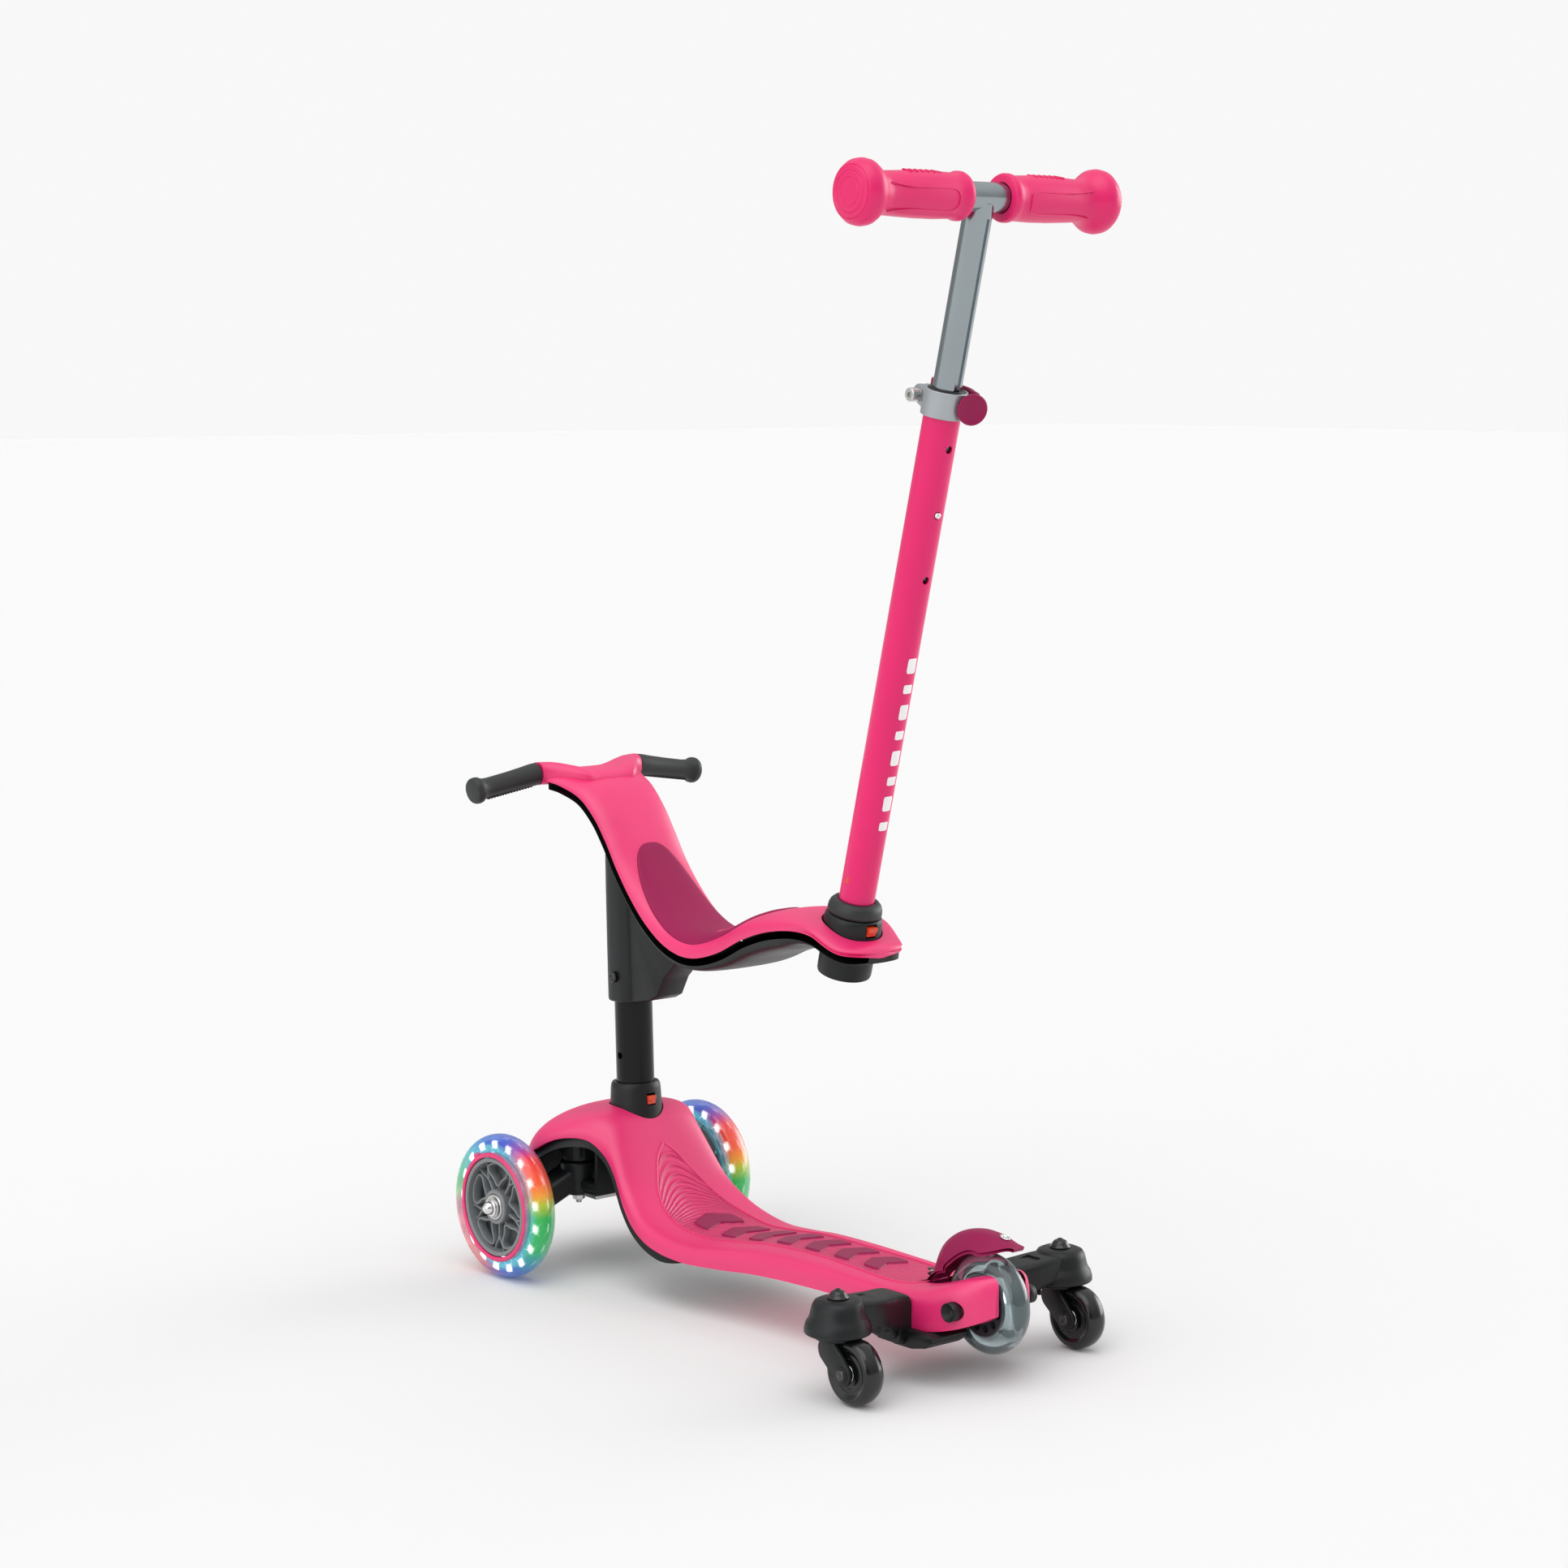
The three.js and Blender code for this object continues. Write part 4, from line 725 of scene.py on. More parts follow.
def lit_finish(name, stars):
    """Casting lit from inside by a slow colour wheel, with a white star at every lamp."""
    material = finish(name, (0.3, 0.7, 0.8), 0.12, grain=200, depth=0.000006,
                      coat=0.0 if stars else 0.5)
    nodes, links = material.node_tree.nodes, material.node_tree.links
    shader = nodes["Principled BSDF"]

    step, fade = node_arithmetic(nodes, links)

    def fall(value, low, high):
        return fade(value, low, high, 1, 0, "SMOOTHERSTEP")

    place = nodes.new("ShaderNodeTexCoord")
    parts = nodes.new("ShaderNodeSeparateXYZ")
    links.new(place.outputs["Object"], parts.inputs[0])
    back = step("MULTIPLY_ADD", parts.outputs["Y"], -1000, FRONT_AXLE_Y)
    up = step("MULTIPLY_ADD", parts.outputs["Z"], 1000, -FRONT_WHEEL_RADIUS)
    outer = step("SUBTRACT", step("ABSOLUTE", step("MULTIPLY", parts.outputs["X"], 1000)), TRACK)
    radius = step("SQRT", step("ADD", step("MULTIPLY", back, back), step("MULTIPLY", up, up)))
    turn = step("FRACT", step("ADD", step("DIVIDE", step("ARCTAN2", up, back), 2 * math.pi), 1))
    ramp = nodes.new("ShaderNodeValToRGB")
    links.new(turn, ramp.inputs["Fac"])
    ramp.color_ramp.elements[0].position = 0
    ramp.color_ramp.elements[0].color = (*GLOW[0][1], 1)
    ramp.color_ramp.elements[1].position = 1
    ramp.color_ramp.elements[1].color = (*GLOW[-1][1], 1)
    for at, color in GLOW[1:-1]:
        ramp.color_ramp.elements.new(at).color = (*color, 1)
    swirl = nodes.new("ShaderNodeTexNoise")
    swirl.inputs["Scale"].default_value = 60
    links.new(place.outputs["Object"], swirl.inputs["Vector"])
    teal = nodes.new("ShaderNodeMix")
    teal.data_type = "RGBA"
    inward = step("MULTIPLY_ADD", swirl.outputs["Fac"], 3, radius)
    links.new(fall(inward, 52.5, 55.5), teal.inputs["Factor"])
    links.new(ramp.outputs["Color"], teal.inputs["A"])
    teal.inputs["B"].default_value = (0.09, 0.46, 0.60, 1)
    lit = teal.outputs["Result"]
    if stars:
        # distance from the nearest lamp round the ring, and over its outer edge, in millimetres
        lane = step("SUBTRACT", step("FRACT", step("MULTIPLY", turn, LAMPS)), 0.5)
        arc = step("MULTIPLY", lane, 2 * math.pi * 54 / LAMPS)
        rolled = step("SUBTRACT", step("ABSOLUTE", outer), 7)
        over = step("SUBTRACT", step("SUBTRACT", radius, 54), rolled)
        spot = step("SQRT", step("ADD", step("MULTIPLY", arc, arc), step("MULTIPLY", over, over)))
        ray_a = step("ABSOLUTE", step("ADD", arc, over))
        ray_b = step("ABSOLUTE", step("SUBTRACT", arc, over))
        rays = step("MULTIPLY", step("ADD", fall(ray_a, 0.1, 0.8), fall(ray_b, 0.1, 0.8)),
                    fall(spot, 1.0, 12))
        white = step("MINIMUM", step("ADD", fall(spot, 0.8, 6.2), step("MULTIPLY", rays, 0.55)), 1)
        blaze = nodes.new("ShaderNodeMix")
        blaze.data_type = "RGBA"
        links.new(white, blaze.inputs["Factor"])
        links.new(lit, blaze.inputs["A"])
        blaze.inputs["B"].default_value = (4, 4, 4, 1)
        lit = blaze.outputs["Result"]
        adjust(shader, {"Emission Strength": 0.9, "Base Color": (0.1, 0.1, 0.1, 1)})
        links.remove(shader.inputs["Base Color"].links[0])
    else:
        links.new(lit, shader.inputs["Base Color"])
        links.new(step("MULTIPLY_ADD", fall(radius, 61, 50), 0.62, 0.22), shader.inputs["Alpha"])
        shader.inputs["Emission Strength"].default_value = 0.22
    links.new(lit, shader.inputs["Emission Color"])
    return material


lit_tyre = lit_finish("lit_tyre", False)
lamp_core = lit_finish("lamp_core", True)
rim_grey = finish("rim_grey", (0.2, 0.213, 0.222), 0.38, grain=1200, depth=0.00003)
teal_clear = finish("teal_clear", (0.10, 0.50, 0.58), 0.12, grain=300, depth=0.00002, coat=0.5)


def tube(points, half_wide, half_deep, closed, steps, sides=12, square=0.6):
    """A flat-sided bar swept through points given in the YZ plane, thick along X."""
    count = len(points)

    def spot(t):
        if closed:
            t = (t % 1) * count
            i = int(t)
            p = [points[(i + k - 1) % count] for k in range(4)]
        else:
            t = min(max(t, 0), 1) * (count - 1)
            i = min(int(t), count - 2)
            p = [points[min(max(i + k - 1, 0), count - 1)] for k in range(4)]
        f = t - i
        return [0.5 * (2 * b + (c - a) * f + (2 * a - 5 * b + 4 * c - d) * f * f
                       + (3 * b - a - 3 * c + d) * f**3)
                for a, b, c, d in zip(*p)]

    def place(u, v):
        here, ahead, behind = spot(u), spot(u + 0.003), spot(u - 0.003)
        if not closed:
            ahead, behind = spot(min(u + 0.003, 1)), spot(max(u - 0.003, 0))
        direction = Vector((ahead[0] - behind[0], ahead[1] - behind[1])).normalized()
        open_end = not closed and (u < 0.001 or u > 0.999)
        c, s = math.cos(v * 2 * math.pi), math.sin(v * 2 * math.pi)
        wide = 0 if open_end else signed(c, square) * half_wide
        deep = 0 if open_end else signed(s, square) * half_deep
        return Vector((deep, here[0] - direction.y * wide, here[1] + direction.x * wide))
    return mapped(steps, sides, place)


def polar(radius, degrees):
    return (radius * math.sin(math.radians(degrees)), radius * math.cos(math.radians(degrees)))


def tyre_crown(root, height, half_width, steps=16):
    """The half ellipse of a tyre's section, from one side to the other."""
    leans = [(k / steps - 0.5) * math.pi for k in range(steps + 1)]
    return [(root + height * math.cos(lean), half_width * math.sin(lean)) for lean in leans]


def rim_spokes():
    shapes = []
    for k in range(5):
        middle = k * 72
        loop = [polar(17.5, middle), polar(24, middle + 15), polar(30.5, middle + 24),
                polar(35.5, middle + 20), polar(36.8, middle), polar(35.5, middle - 20),
                polar(30.5, middle - 24), polar(24, middle - 15)]
        shapes.append(moved(tube(loop, 1.15, 4.2, True, 64), shift(3.6, 0, 0)))
        stem = [polar(12.5, middle + 36), polar(18, middle + 36), polar(25, middle + 36)]
        shapes.append(moved(tube(stem, 1.3, 4, False, 12), shift(2.6, 0, 0)))
        for way in (-1, 1):
            branch = [polar(24.2, middle + 36), polar(28.5, middle + 36 + 3 * way),
                      polar(34, middle + 36 + 8 * way), polar(39.5, middle + 36 + 9 * way)]
            shapes.append(moved(tube(branch, 1.2, 4, False, 16), shift(2.6, 0, 0)))
        foot = [polar(12.5, middle), polar(15, middle), polar(18.6, middle)]
        shapes.append(moved(tube(foot, 1.3, 4, False, 10), shift(2.6, 0, 0)))
    return shapes


for name, side in SIDES:
    body = f"front_wheel_{name}"
    spot = shift(side * TRACK, 0, FRONT_WHEEL_RADIUS)
    if side < 0:
        spot = spot @ HALF_TURN
    tyre = moved(spun([(42.6, -9), (45, -12.4), *tyre_crown(51, 9.5, 13.3), (46.5, 12.4),
                       (46.4, 7.5), (42.5, 7.5)], 128), ALONG_X)
    piece(f"front_tyre_{name}_casting", tyre, body, "clear_tyre", lit_tyre,
          f"front_tyre_{name}", place=spot)
    band = [moved(spun([(42.7, -9.3), (48.6, -11.6), (48.6, -12.9), (43.2, -11)], 96), ALONG_X)]
    for k in range(10):
        post_at = polar(46.2, k * 36 + 12)
        stud = moved(spun([(0, 13.9), (1.1, 13.9), (1.5, 13.5), (1.6, 12), (0, 12)], 20), ALONG_X)
        band.append(moved(stud, shift(-26.4, post_at[0], post_at[1])))
    piece(f"teal_band_{name}", joined(*band), body, "clear_tyre", teal_clear, place=spot)
    rim = [
        moved(spun([(37.6, -10), (41.9, -10), (41.9, 6.9), (41.6, 7.6), (41.6, 11.2), (41, 11.9),
                    (38.4, 11.9), (37.8, 11.2), (37.6, 9)], 96), ALONG_X),
        moved(spun([(11.2, -9), (14.4, -9), (14.8, 9.6), (14, 10.9), (11.2, 10.9)], 64), ALONG_X),
        moved(spun([(13, -5.4), (38.4, -5.4), (38.4, -4.2), (13, -4.2)], 72), ALONG_X),
        *rim_spokes(),
    ]
    piece(f"front_rim_{name}_moulding", joined(*rim), body, "grey_plastic", rim_grey,
          f"front_rim_{name}", place=spot, bevel=0.3)
    trim = [moved(spun([(42.2, 8), (45.9, 8), (46, 11.8), (45.2, 12.7), (43, 12.9), (42.2, 12.2)],
                       96), ALONG_X)]
    tab = polar(47, -32)
    trim.append(moved(block(7.8, 12.6, -2.4, 2.4, -1.8, 1.8),
                      shift(0, tab[0], tab[1]) @ Matrix.Rotation(0.55, 4, "X")))
    piece(f"rim_trim_{name}_ring", joined(*trim), body, "pink_plastic", pink_smooth,
          f"rim_trim_{name}", place=spot, bevel=0.3)
    core = moved(spun([(46, -6.4), (54.6, -6.4), (55.4, -5.6), (55.4, 5.6), (54.6, 6.4), (46, 6.4)],
                      128), ALONG_X)
    piece(f"lamp_ring_{name}", core, body, "light_band", lamp_core, f"light_ring_{name}",
          place=spot)
    race = moved(spun([(4.4, 3), (10.8, 3), (10.8, 11.3), (10.3, 11.8), (8.9, 11.8), (8.6, 11.2),
                       (6.6, 11.2), (6.3, 11.7), (4.9, 11.7), (4.4, 11.2)], 56), ALONG_X)
    piece(f"front_bearing_{name}_races", race, body, "steel", plated, f"front_bearing_{name}",
          place=spot)

# ---- Rear wheel ----
# A smoky clear casting on a grey core with a ring of round pockets, between two bearings.


def clear_finish(name, color, roughness, share):
    """Cast polyurethane: clear and glossy, with faint flow clouds in it."""
    material = finish(name, color, roughness, grain=160, depth=0.00001, coat=0.4)
    shader = material.node_tree.nodes["Principled BSDF"]
    adjust(shader, {"Transmission Weight": share, "IOR": 1.4})
    return material


smoke = clear_finish("smoke_casting", (0.40, 0.50, 0.52), 0.06, 0.86)
core_grey = finish("core_grey", (0.055, 0.065, 0.07), 0.35, grain=900, depth=0.00003)
hub = shift(*REAR_AXLE)
rear_casting = moved(spun([(24.4, -9), (26, -10), *tyre_crown(30, 9, 10.3), (26, 10), (24.4, 9)],
                          112), ALONG_X)
piece("rear_tyre_casting", rear_casting, "rear_wheel", "smoke_tyre", smoke, "rear_tyre", place=hub)
pockets = [moved(rod(2.9, *depth, 24), shift(0, *polar(18.6, k * 30 + 15)) @ ALONG_X)
           for k in range(12) for depth in ((3, 20), (-20, -3))]
core = moved(spun([(11.3, -9.3), (13.5, -9.6), (15, -8.6), (22.4, -8.6), (23.6, -9.4), (24.1, -9),
                   (24.1, 9), (23.6, 9.4), (22.4, 8.6), (15, 8.6), (13.5, 9.6), (11.3, 9.3)], 72),
             ALONG_X)
piece("rear_core_moulding", cut(core, *pockets), "rear_wheel", "grey_plastic", core_grey,
      "rear_core", place=hub, bevel=0.25)
for name, side in SIDES:
    race = moved(spun([(4.4, 2.6), (10.9, 2.6), (10.9, 9), (10.3, 9.5), (8.9, 9.5), (8.6, 9),
                       (6.6, 9), (6.3, 9.4), (4.9, 9.4), (4.4, 8.9)], 48), ALONG_X)
    piece(f"rear_bearing_{name}_races", mirrored(race, side), "rear_wheel", "steel", plated,
          f"rear_bearing_{name}", place=hub)
bolt = moved(spun([(0, -33.4), (3, -33.4), (3.4, -33.9), (5.6, -33.9), (6, -33.4), (6, -30.6),
                   (4, -30.4), (4, 30.4), (6, 30.6), (6, 33.4), (5.6, 33.9), (3.4, 33.9),
                   (3, 33.4), (0, 33.4)], 40), ALONG_X)
piece("rear_axle_bolt", bolt, "deck", "steel", plated, "rear_axle", place=hub)

# Black cups lining both axle recesses, each with a floor over the bolt head: painted shade, so the
# recesses read as dark holes.
recess_shade_cups = []
for turn in (0, math.pi):
    recess_shade_cup = spun([(0, 34.4), (7.2, 34.4), (7.2, 43), (6.3, 43), (6, 35.6), (0, 35.6)], 40)
    recess_shade_cups.append(moved(recess_shade_cup, Matrix.Rotation(turn, 4, "Z") @ ALONG_X))
piece("axle_recess_shade_cups", joined(*recess_shade_cups), "deck", "black_plastic", black_satin, place=hub)

# ---- Mudguard brake ----
# A springy dark-magenta arch over the rear wheel, pressed down with the heel. It is pinned in
# the slot, rounds over the wheel, and ends in a flat tail with an oval rivet hole.
FENDER_LINE = [
    (0.0, -422.5, 59), (0.09, -423.5, 74), (0.2, -428, 89), (0.32, -438, 102),
    (0.45, -453, 111.5), (0.6, -472, 116.5), (0.76, -490, 116), (0.88, -503, 113),
    (1, -513.5, 109.5),
]


def fender_point(along, across, depth):
    y, z = smooth_rows(FENDER_LINE, along)
    y2, z2 = smooth_rows(FENDER_LINE, min(along + 0.01, 1))
    y1, z1 = smooth_rows(FENDER_LINE, max(along - 0.01, 0))
    tangent = Vector((y2 - y1, z2 - z1)).normalized()
    rise = ease(0.08, 0.34, along)
    taper = ease(0.74, 1, along)
    half_width = 11 + 6.5 * rise - 12 * taper
    skirt = 12.5 + 6.5 * (1 - ease(0.35, 0.7, along))
    curl = skirt * ease(0.03, 0.22, along) * (1 - taper) * abs(across) ** 2.1
    sink = depth + curl
    return Vector((across * half_width, y - tangent.y * sink, z + tangent.x * sink))


def fender_place(u, v):
    along, across, inside = skin_at(u, v)
    return fender_point(along, across, 2.9 if inside else 0)


rivet_at = fender_point(0.83, 0, 0)
guard = cut(mapped(64, 56, fender_place),
            moved(rod(2.6, -10, 10, 32), shift(*rivet_at)
                  @ Matrix.Rotation(0.2, 4, "X") @ Matrix.Diagonal((1, 1.5, 1, 1))))
piece("brake_guard", guard, "fender", "magenta_plastic", magenta, "brake_fender", bevel=0.7)
rivet = spun([(1.6, -2.6), (2.3, -2.6), (2.3, 0.1), (3.3, 0.3), (3.2, 0.8), (2.4, 1),
              (1.6, 0.6)], 40)
piece("guard_rivet", rivet, "fender", "steel", bright,
      place=shift(*rivet_at) @ Matrix.Rotation(0.2, 4, "X")
      @ Matrix.Diagonal((1, 1.5, 1, 1)))


def fold(u, v):
    z = 67.3 + u * 9.4
    y = -420.2 + math.sin(u * 5 * math.pi) * 1.35
    side = 1 - abs(1 - 2 * v) * 2
    back = 0.22 if v > 0.5 else -0.22
    return Vector((side * 5.8, y + back * (0 if u in (0, 1) else 1), z))


piece("guard_spring", mapped(60, 12, fold), "deck", "steel", plated, "fender_spring")

# ---- Caster bar ----
# A black glass-filled moulding bolted across under the tail. Its cradle wraps the deck, and each
# arm swells into a bell-shaped housing for a swivel caster with a snap-in domed cap.
CASTER = (114.6, -440)
CASTER_WHEEL = shift(0, -19.6, 24.8)


def slab(outline, low, high, rings=72, inset=0.8):
    """A plate along X with a rounded edge, from an outline (y, z) given round its centre."""
    stages = [(0, low, 0), (1, low, inset), (1, low + inset * 0.35, inset * 0.35),
              (1, low + inset, 0), (1, high - inset, 0), (1, high - inset * 0.35, inset * 0.35),
              (1, high, inset), (0, high, 0)]

    def place(u, v):
        spread, x, shrink = stages[round(u * 7)]
        y, z, cy, cz = outline(v)
        away = Vector((y - cy, z - cz))
        away = away * (spread * max(1 - shrink / max(away.length, 0.01), 0))
        return Vector((x, cy + away.x, cz + away.y))
    return mapped(7, rings, place)


# out from the deck's side: |x|, rear y, front y, bottom z, top z
ARM_STATIONS = [
    (44, -443, -408, 27, 66), (50, -443, -409, 28, 67.5), (58, -445, -411, 33, 68.6),
    (68, -449, -415, 41, 69.8), (80, -453, -419, 48.5, 71.5), (94, -455, -423, 51.6, 73.4),
    (106, -455, -425, 52, 74),
]
# the cradle under the deck, seen from the side: y, z
CRADLE = [
    (-404, 41), (-405, 35), (-413, 29.5), (-430, 26.6), (-448, 27), (-463, 30.4), (-472, 36),
    (-473, 40), (-466, 42), (-440, 41.6),
]


def outrigger_arm(side):
    def station(t):
        x = mix(44, 106, t)
        rear, front, low, high = smooth_rows(ARM_STATIONS, x)
        return (Vector((side * x, (rear + front) / 2, (low + high) / 2)),
                Vector((0, (front - rear) / 2, 0)), Vector((0, 0, (high - low) / 2)))
    return bar_through(110, 56, 0.32, station)


bar_shapes = []
for side in (-1, 1):
    panel = moved(block(-9, 9, -7.5, 7.5, -1.1, 3), shift(side * 80, -438, 72.4))
    sockets = moved(rod(6.7, 30, 70.6, 40), shift(side * CASTER[0], CASTER[1], 0))
    bar_shapes.append(cut(outrigger_arm(side), panel, sockets))
    bell = spun([(6.7, 51), (19, 51.6), (21, 50.7), (24.6, 50.6), (25.4, 51.4), (25.3, 54.5),
                 (24, 59), (22.3, 61.4), (21.2, 64), (20.2, 68.6), (19.4, 71.6), (17.6, 74.6),
                 (14, 76.2), (8.8, 76.4), (6.7, 76.4)], 72)
    bar_shapes.append(moved(bell, shift(side * CASTER[0], CASTER[1], 0)))
    for k in range(3):
        rib = block(side * (60 + 11 * k) - 0.9, side * (60 + 11 * k) + 0.9, -448 - 2 * k, -424,
                    33 + 6.6 * k, 44 + 6 * k)
        bar_shapes.append(rib)


def ringed(points, middle):
    """An outline read round a closed list of (y, z) points, about a middle point."""
    def outline(v):
        t = (v % 1) * len(points)
        i = int(t) % len(points)
        (y0, z0), (y1, z1) = points[i], points[(i + 1) % len(points)]
        return mix(y0, y1, t - int(t)), mix(z0, z1, t - int(t)), *middle
    return outline


cradle = cut(slab(ringed(CRADLE, (-438, 35)), -49.5, 49.5, 120, 1.6),
             block(-14, 14, -500, -434, 10, 60))
bar_shapes.append(cradle)
piece("outrigger_bar", joined(*bar_shapes), "deck", "black_plastic", black_satin, "caster_bar",
      bevel=0.7, angle=40)

cap_black = finish("cap_black", (0.008, 0.009, 0.010), 0.24, grain=700, depth=0.00002, coat=0.1)
caster_black = finish("caster_tread", (0.005, 0.0055, 0.006), 0.2, grain=500, depth=0.00001,
                      coat=0.1)


def hull_of(first, second):
    """Outline round two discs, each (y, z, radius)."""
    cy, cz = (first[0] + second[0]) / 2, (first[1] + second[1]) / 2

    def outline(v):
        c, s = math.cos(v * 2 * math.pi), math.sin(v * 2 * math.pi)
        reach = [y * c + z * s + r for y, z, r in (first, second)]
        y, z, r = (first, second)[reach.index(max(reach))]
        return y + r * c, z + r * s, cy, cz
    return outline


for name, side in SIDES:
    spot = shift(side * CASTER[0], CASTER[1], 0)
    cap = spun([(0, 83.2), (2.2, 83), (4.8, 81.8), (6.3, 79.9), (6.8, 78.2), (8.2, 77.6),
                (8.4, 76.7), (0, 76.7)], 48)
    hex_mark = spun([(1.2, 83.6), (1.9, 83.5), (2, 82.8), (1.2, 82.8)], 24)
    piece(f"caster_cap_{name}_dome", joined(cap, hex_mark), "deck", "black_plastic", cap_black,
          f"caster_cap_{name}", place=spot)
    cheeks = []
    for way in (-1, 1):
        low, high = (9.9, 13.4) if way > 0 else (-13.4, -9.9)
        cheeks.append(slab(hull_of((-3, 40, 10.5), (-19.6, 24.8, 8.8)), low, high))
        cheeks.append(slab(hull_of((-19.6, 24.8, 6.2), (-19.6, 24.81, 6.2)),
                           *((12.9, 14.4) if way > 0 else (-14.4, -12.9)), 40, 0.4))
    crown = spun([(0, 46.4), (17, 46.4), (18.4, 47.4), (18.4, 49.4), (17.6, 50.1), (0, 50.1)], 56)
    stem = rod(6, 40, 66, 40)
    fork = joined(*cheeks, crown, cut(stem, moved(rod(26, -30, 30, 64), Matrix.Translation(
        (0, -19.6, 24.8)) @ ALONG_X)))
    piece(f"caster_fork_{name}_moulding", fork, f"caster_{name}", "black_plastic", black_satin,
          f"caster_fork_{name}", place=spot)
    roller = moved(spun([
        (3.4, -7.6), (7.4, -8), (8, -7.2), (11.6, -7.2), (12.4, -8.2), (14.4, -6.6), (16.4, -6.6),
        (18.4, -8.8), (20.6, -9), (22.9, -7.7), (24.2, -5), (24.8, -1.8), (24.8, 1.8), (24.2, 5),
        (22.9, 7.7), (20.6, 9), (18.4, 8.8), (16.4, 6.6), (14.4, 6.6), (12.4, 8.2), (11.6, 7.2),
        (8, 7.2), (7.4, 8), (3.4, 7.6)], 96), ALONG_X)
    piece(f"caster_wheel_{name}_tread", roller, f"caster_roller_{name}", "caster_tread",
          caster_black, f"caster_wheel_{name}", place=spot @ CASTER_WHEEL)
    race = joined(*[moved(spun([(4, 7.4), (7.2, 7.4), (7.2, 8.3), (4, 8.3)], 40),
                          Matrix.Rotation(turn, 4, "Z") @ ALONG_X) for turn in (0, math.pi)])
    piece(f"caster_race_{name}", race, f"caster_roller_{name}", "steel", plated,
          place=spot @ CASTER_WHEEL)
    pin = moved(spun([(0, -15.1), (1.6, -15.1), (2, -15.6), (3.6, -15.6), (4.3, -15), (4.3, -14.5),
                      (2.9, -14.3), (2.9, 14.3), (4.3, 14.5), (4.3, 15), (3.6, 15.6), (2, 15.6),
                      (1.6, 15.1), (0, 15.1)], 40), ALONG_X)
    piece(f"caster_axle_{name}_screw", pin, f"caster_{name}", "steel",
          finish(f"dark_screw_{name}", (0.09, 0.09, 0.09), 0.3, metallic=0.9),
          f"caster_axle_{name}", place=spot @ CASTER_WHEEL)

# ---- Seat post ----
# A gloss black steel tube with two height holes on its left side.
post_gloss = finish("post_gloss", (0.004, 0.0045, 0.005), 0.2, grain=300, depth=0.00001, coat=0.05,
                    shine=0.2)
SCREW_AT = 251
SEAT_DROP = 67.5
post_tube = cut(
    spun([(14, 73), (15.6, 73), (16, 73.4), (16, 297.6), (15.6, 298), (14, 298)], 96),
    *[moved(rod(3, -20, 0, 32), shift(0, 0, at) @ ALONG_X)
      for at in (SCREW_AT, SCREW_AT - SEAT_DROP)],
)
piece("post_tube", post_tube, "post", "black_tube", post_gloss, "seat_post", place=POST_FOOT,
      bevel=0.3)

# ---- Seat ----
# A pink saddle sweeps from the collar lobe up to the child's handlebar. It is a thin moulding
# over a black lower shell, with a grained darker pad in its low part.
SEAT_LINE = [
    (-363, 317), (-345, 319.5), (-320, 332), (-293, 337), (-262, 335), (-228, 326), (-194, 311),
    (-163, 303), (-138, 305.5), (-116, 315.5), (-96, 331), (-76, 352), (-60, 374), (-44, 394),
    (-24, 411), (-2, 420), (14, 423),
]
# along 0..1: half width, turned-down edge, squareness
SEAT_STATIONS = [
    (0, 4, 6, 2.2), (0.004, 13, 6.2, 2.2), (0.012, 21.5, 6.7, 2.2), (0.028, 30.5, 7.8, 2.3),
    (0.05, 36.5, 8.6, 2.4), (0.085, 40.4, 9.4, 2.6), (0.14, 42, 11, 2.8), (0.22, 41, 15, 2.6),
    (0.34, 39, 18, 2.4), (0.46, 39, 18, 2.4), (0.6, 37, 13, 2.6), (0.76, 36, 10, 2.8),
    (0.88, 38, 10, 2.8), (0.95, 43, 10, 2.4), (1, 50, 9, 2.2),
]
seat_lengths = [0.0]
for (y0, z0), (y1, z1) in zip(SEAT_LINE, SEAT_LINE[1:]):
    seat_lengths.append(seat_lengths[-1] + math.hypot(y1 - y0, z1 - z0))
SEAT_ROWS = [(length / seat_lengths[-1], y, z) for length, (y, z) in zip(seat_lengths, SEAT_LINE)]


SEAT_SKIN = 3.9


def seat_point(across, along, depth):
    half_width, drop, squareness = smooth_rows(SEAT_STATIONS, along)
    y, z = smooth_rows(SEAT_ROWS, along)
    y2, z2 = smooth_rows(SEAT_ROWS, min(along + 0.004, 1))
    y1, z1 = smooth_rows(SEAT_ROWS, max(along - 0.004, 0))
    tangent = Vector((y2 - y1, z2 - z1)).normalized()
    angle = across * math.pi / 2
    spread = abs(math.sin(angle)) ** (2 / squareness)
    lift = max(math.cos(angle), 0) ** (2 / squareness)
    lip = max(1 - along / 0.035, 0) ** 3
    below = drop * (1 - lift * (1 - lip)) + depth
    spot = Vector((
        math.copysign(spread * half_width, across), y + tangent.y * below, z - tangent.x * below,
    ))
    # the rear lobe's rim rolls back in toward the middle of the lobe
    tuck = 4.5 * (1 - ease(0.1, 0.2, along)) * max(ease(0.7, 1, abs(across)), lip)
    inward = Vector((-spot.x, -323 - spot.y, 0)).normalized()
    return spot + inward * tuck


def shell_place(u, v):
    along, across, inside = skin_at(u, v, 0.005)
    if inside:
        return seat_point(across * 0.95, along, SEAT_SKIN * (1 - abs(across) ** 8))
    return seat_point(across, along, 0)


MAST_FOOT = shift(0, -239.8, 0) @ Matrix.Rotation(0.2484, 4, "X")
saddle = cut(mapped(200, 72, shell_place), moved(rod(24.6, 300, 380, 96), MAST_FOOT))


def wing_station(t):
    """The child's handlebar core, blended into the saddle between the grips."""
    x = mix(-52, 52, t)
    share = abs(x) / 52
    rear = 12 - 27 * (1 - ease(0.4, 1, share))
    height = 419.5 - 5 * (1 - ease(0.2, 0.8, share))
    return (Vector((x, (rear + 31) / 2, height)), Vector((0, (31 - rear) / 2, 0)),
            Vector((0, 0, 8.6 + share)))


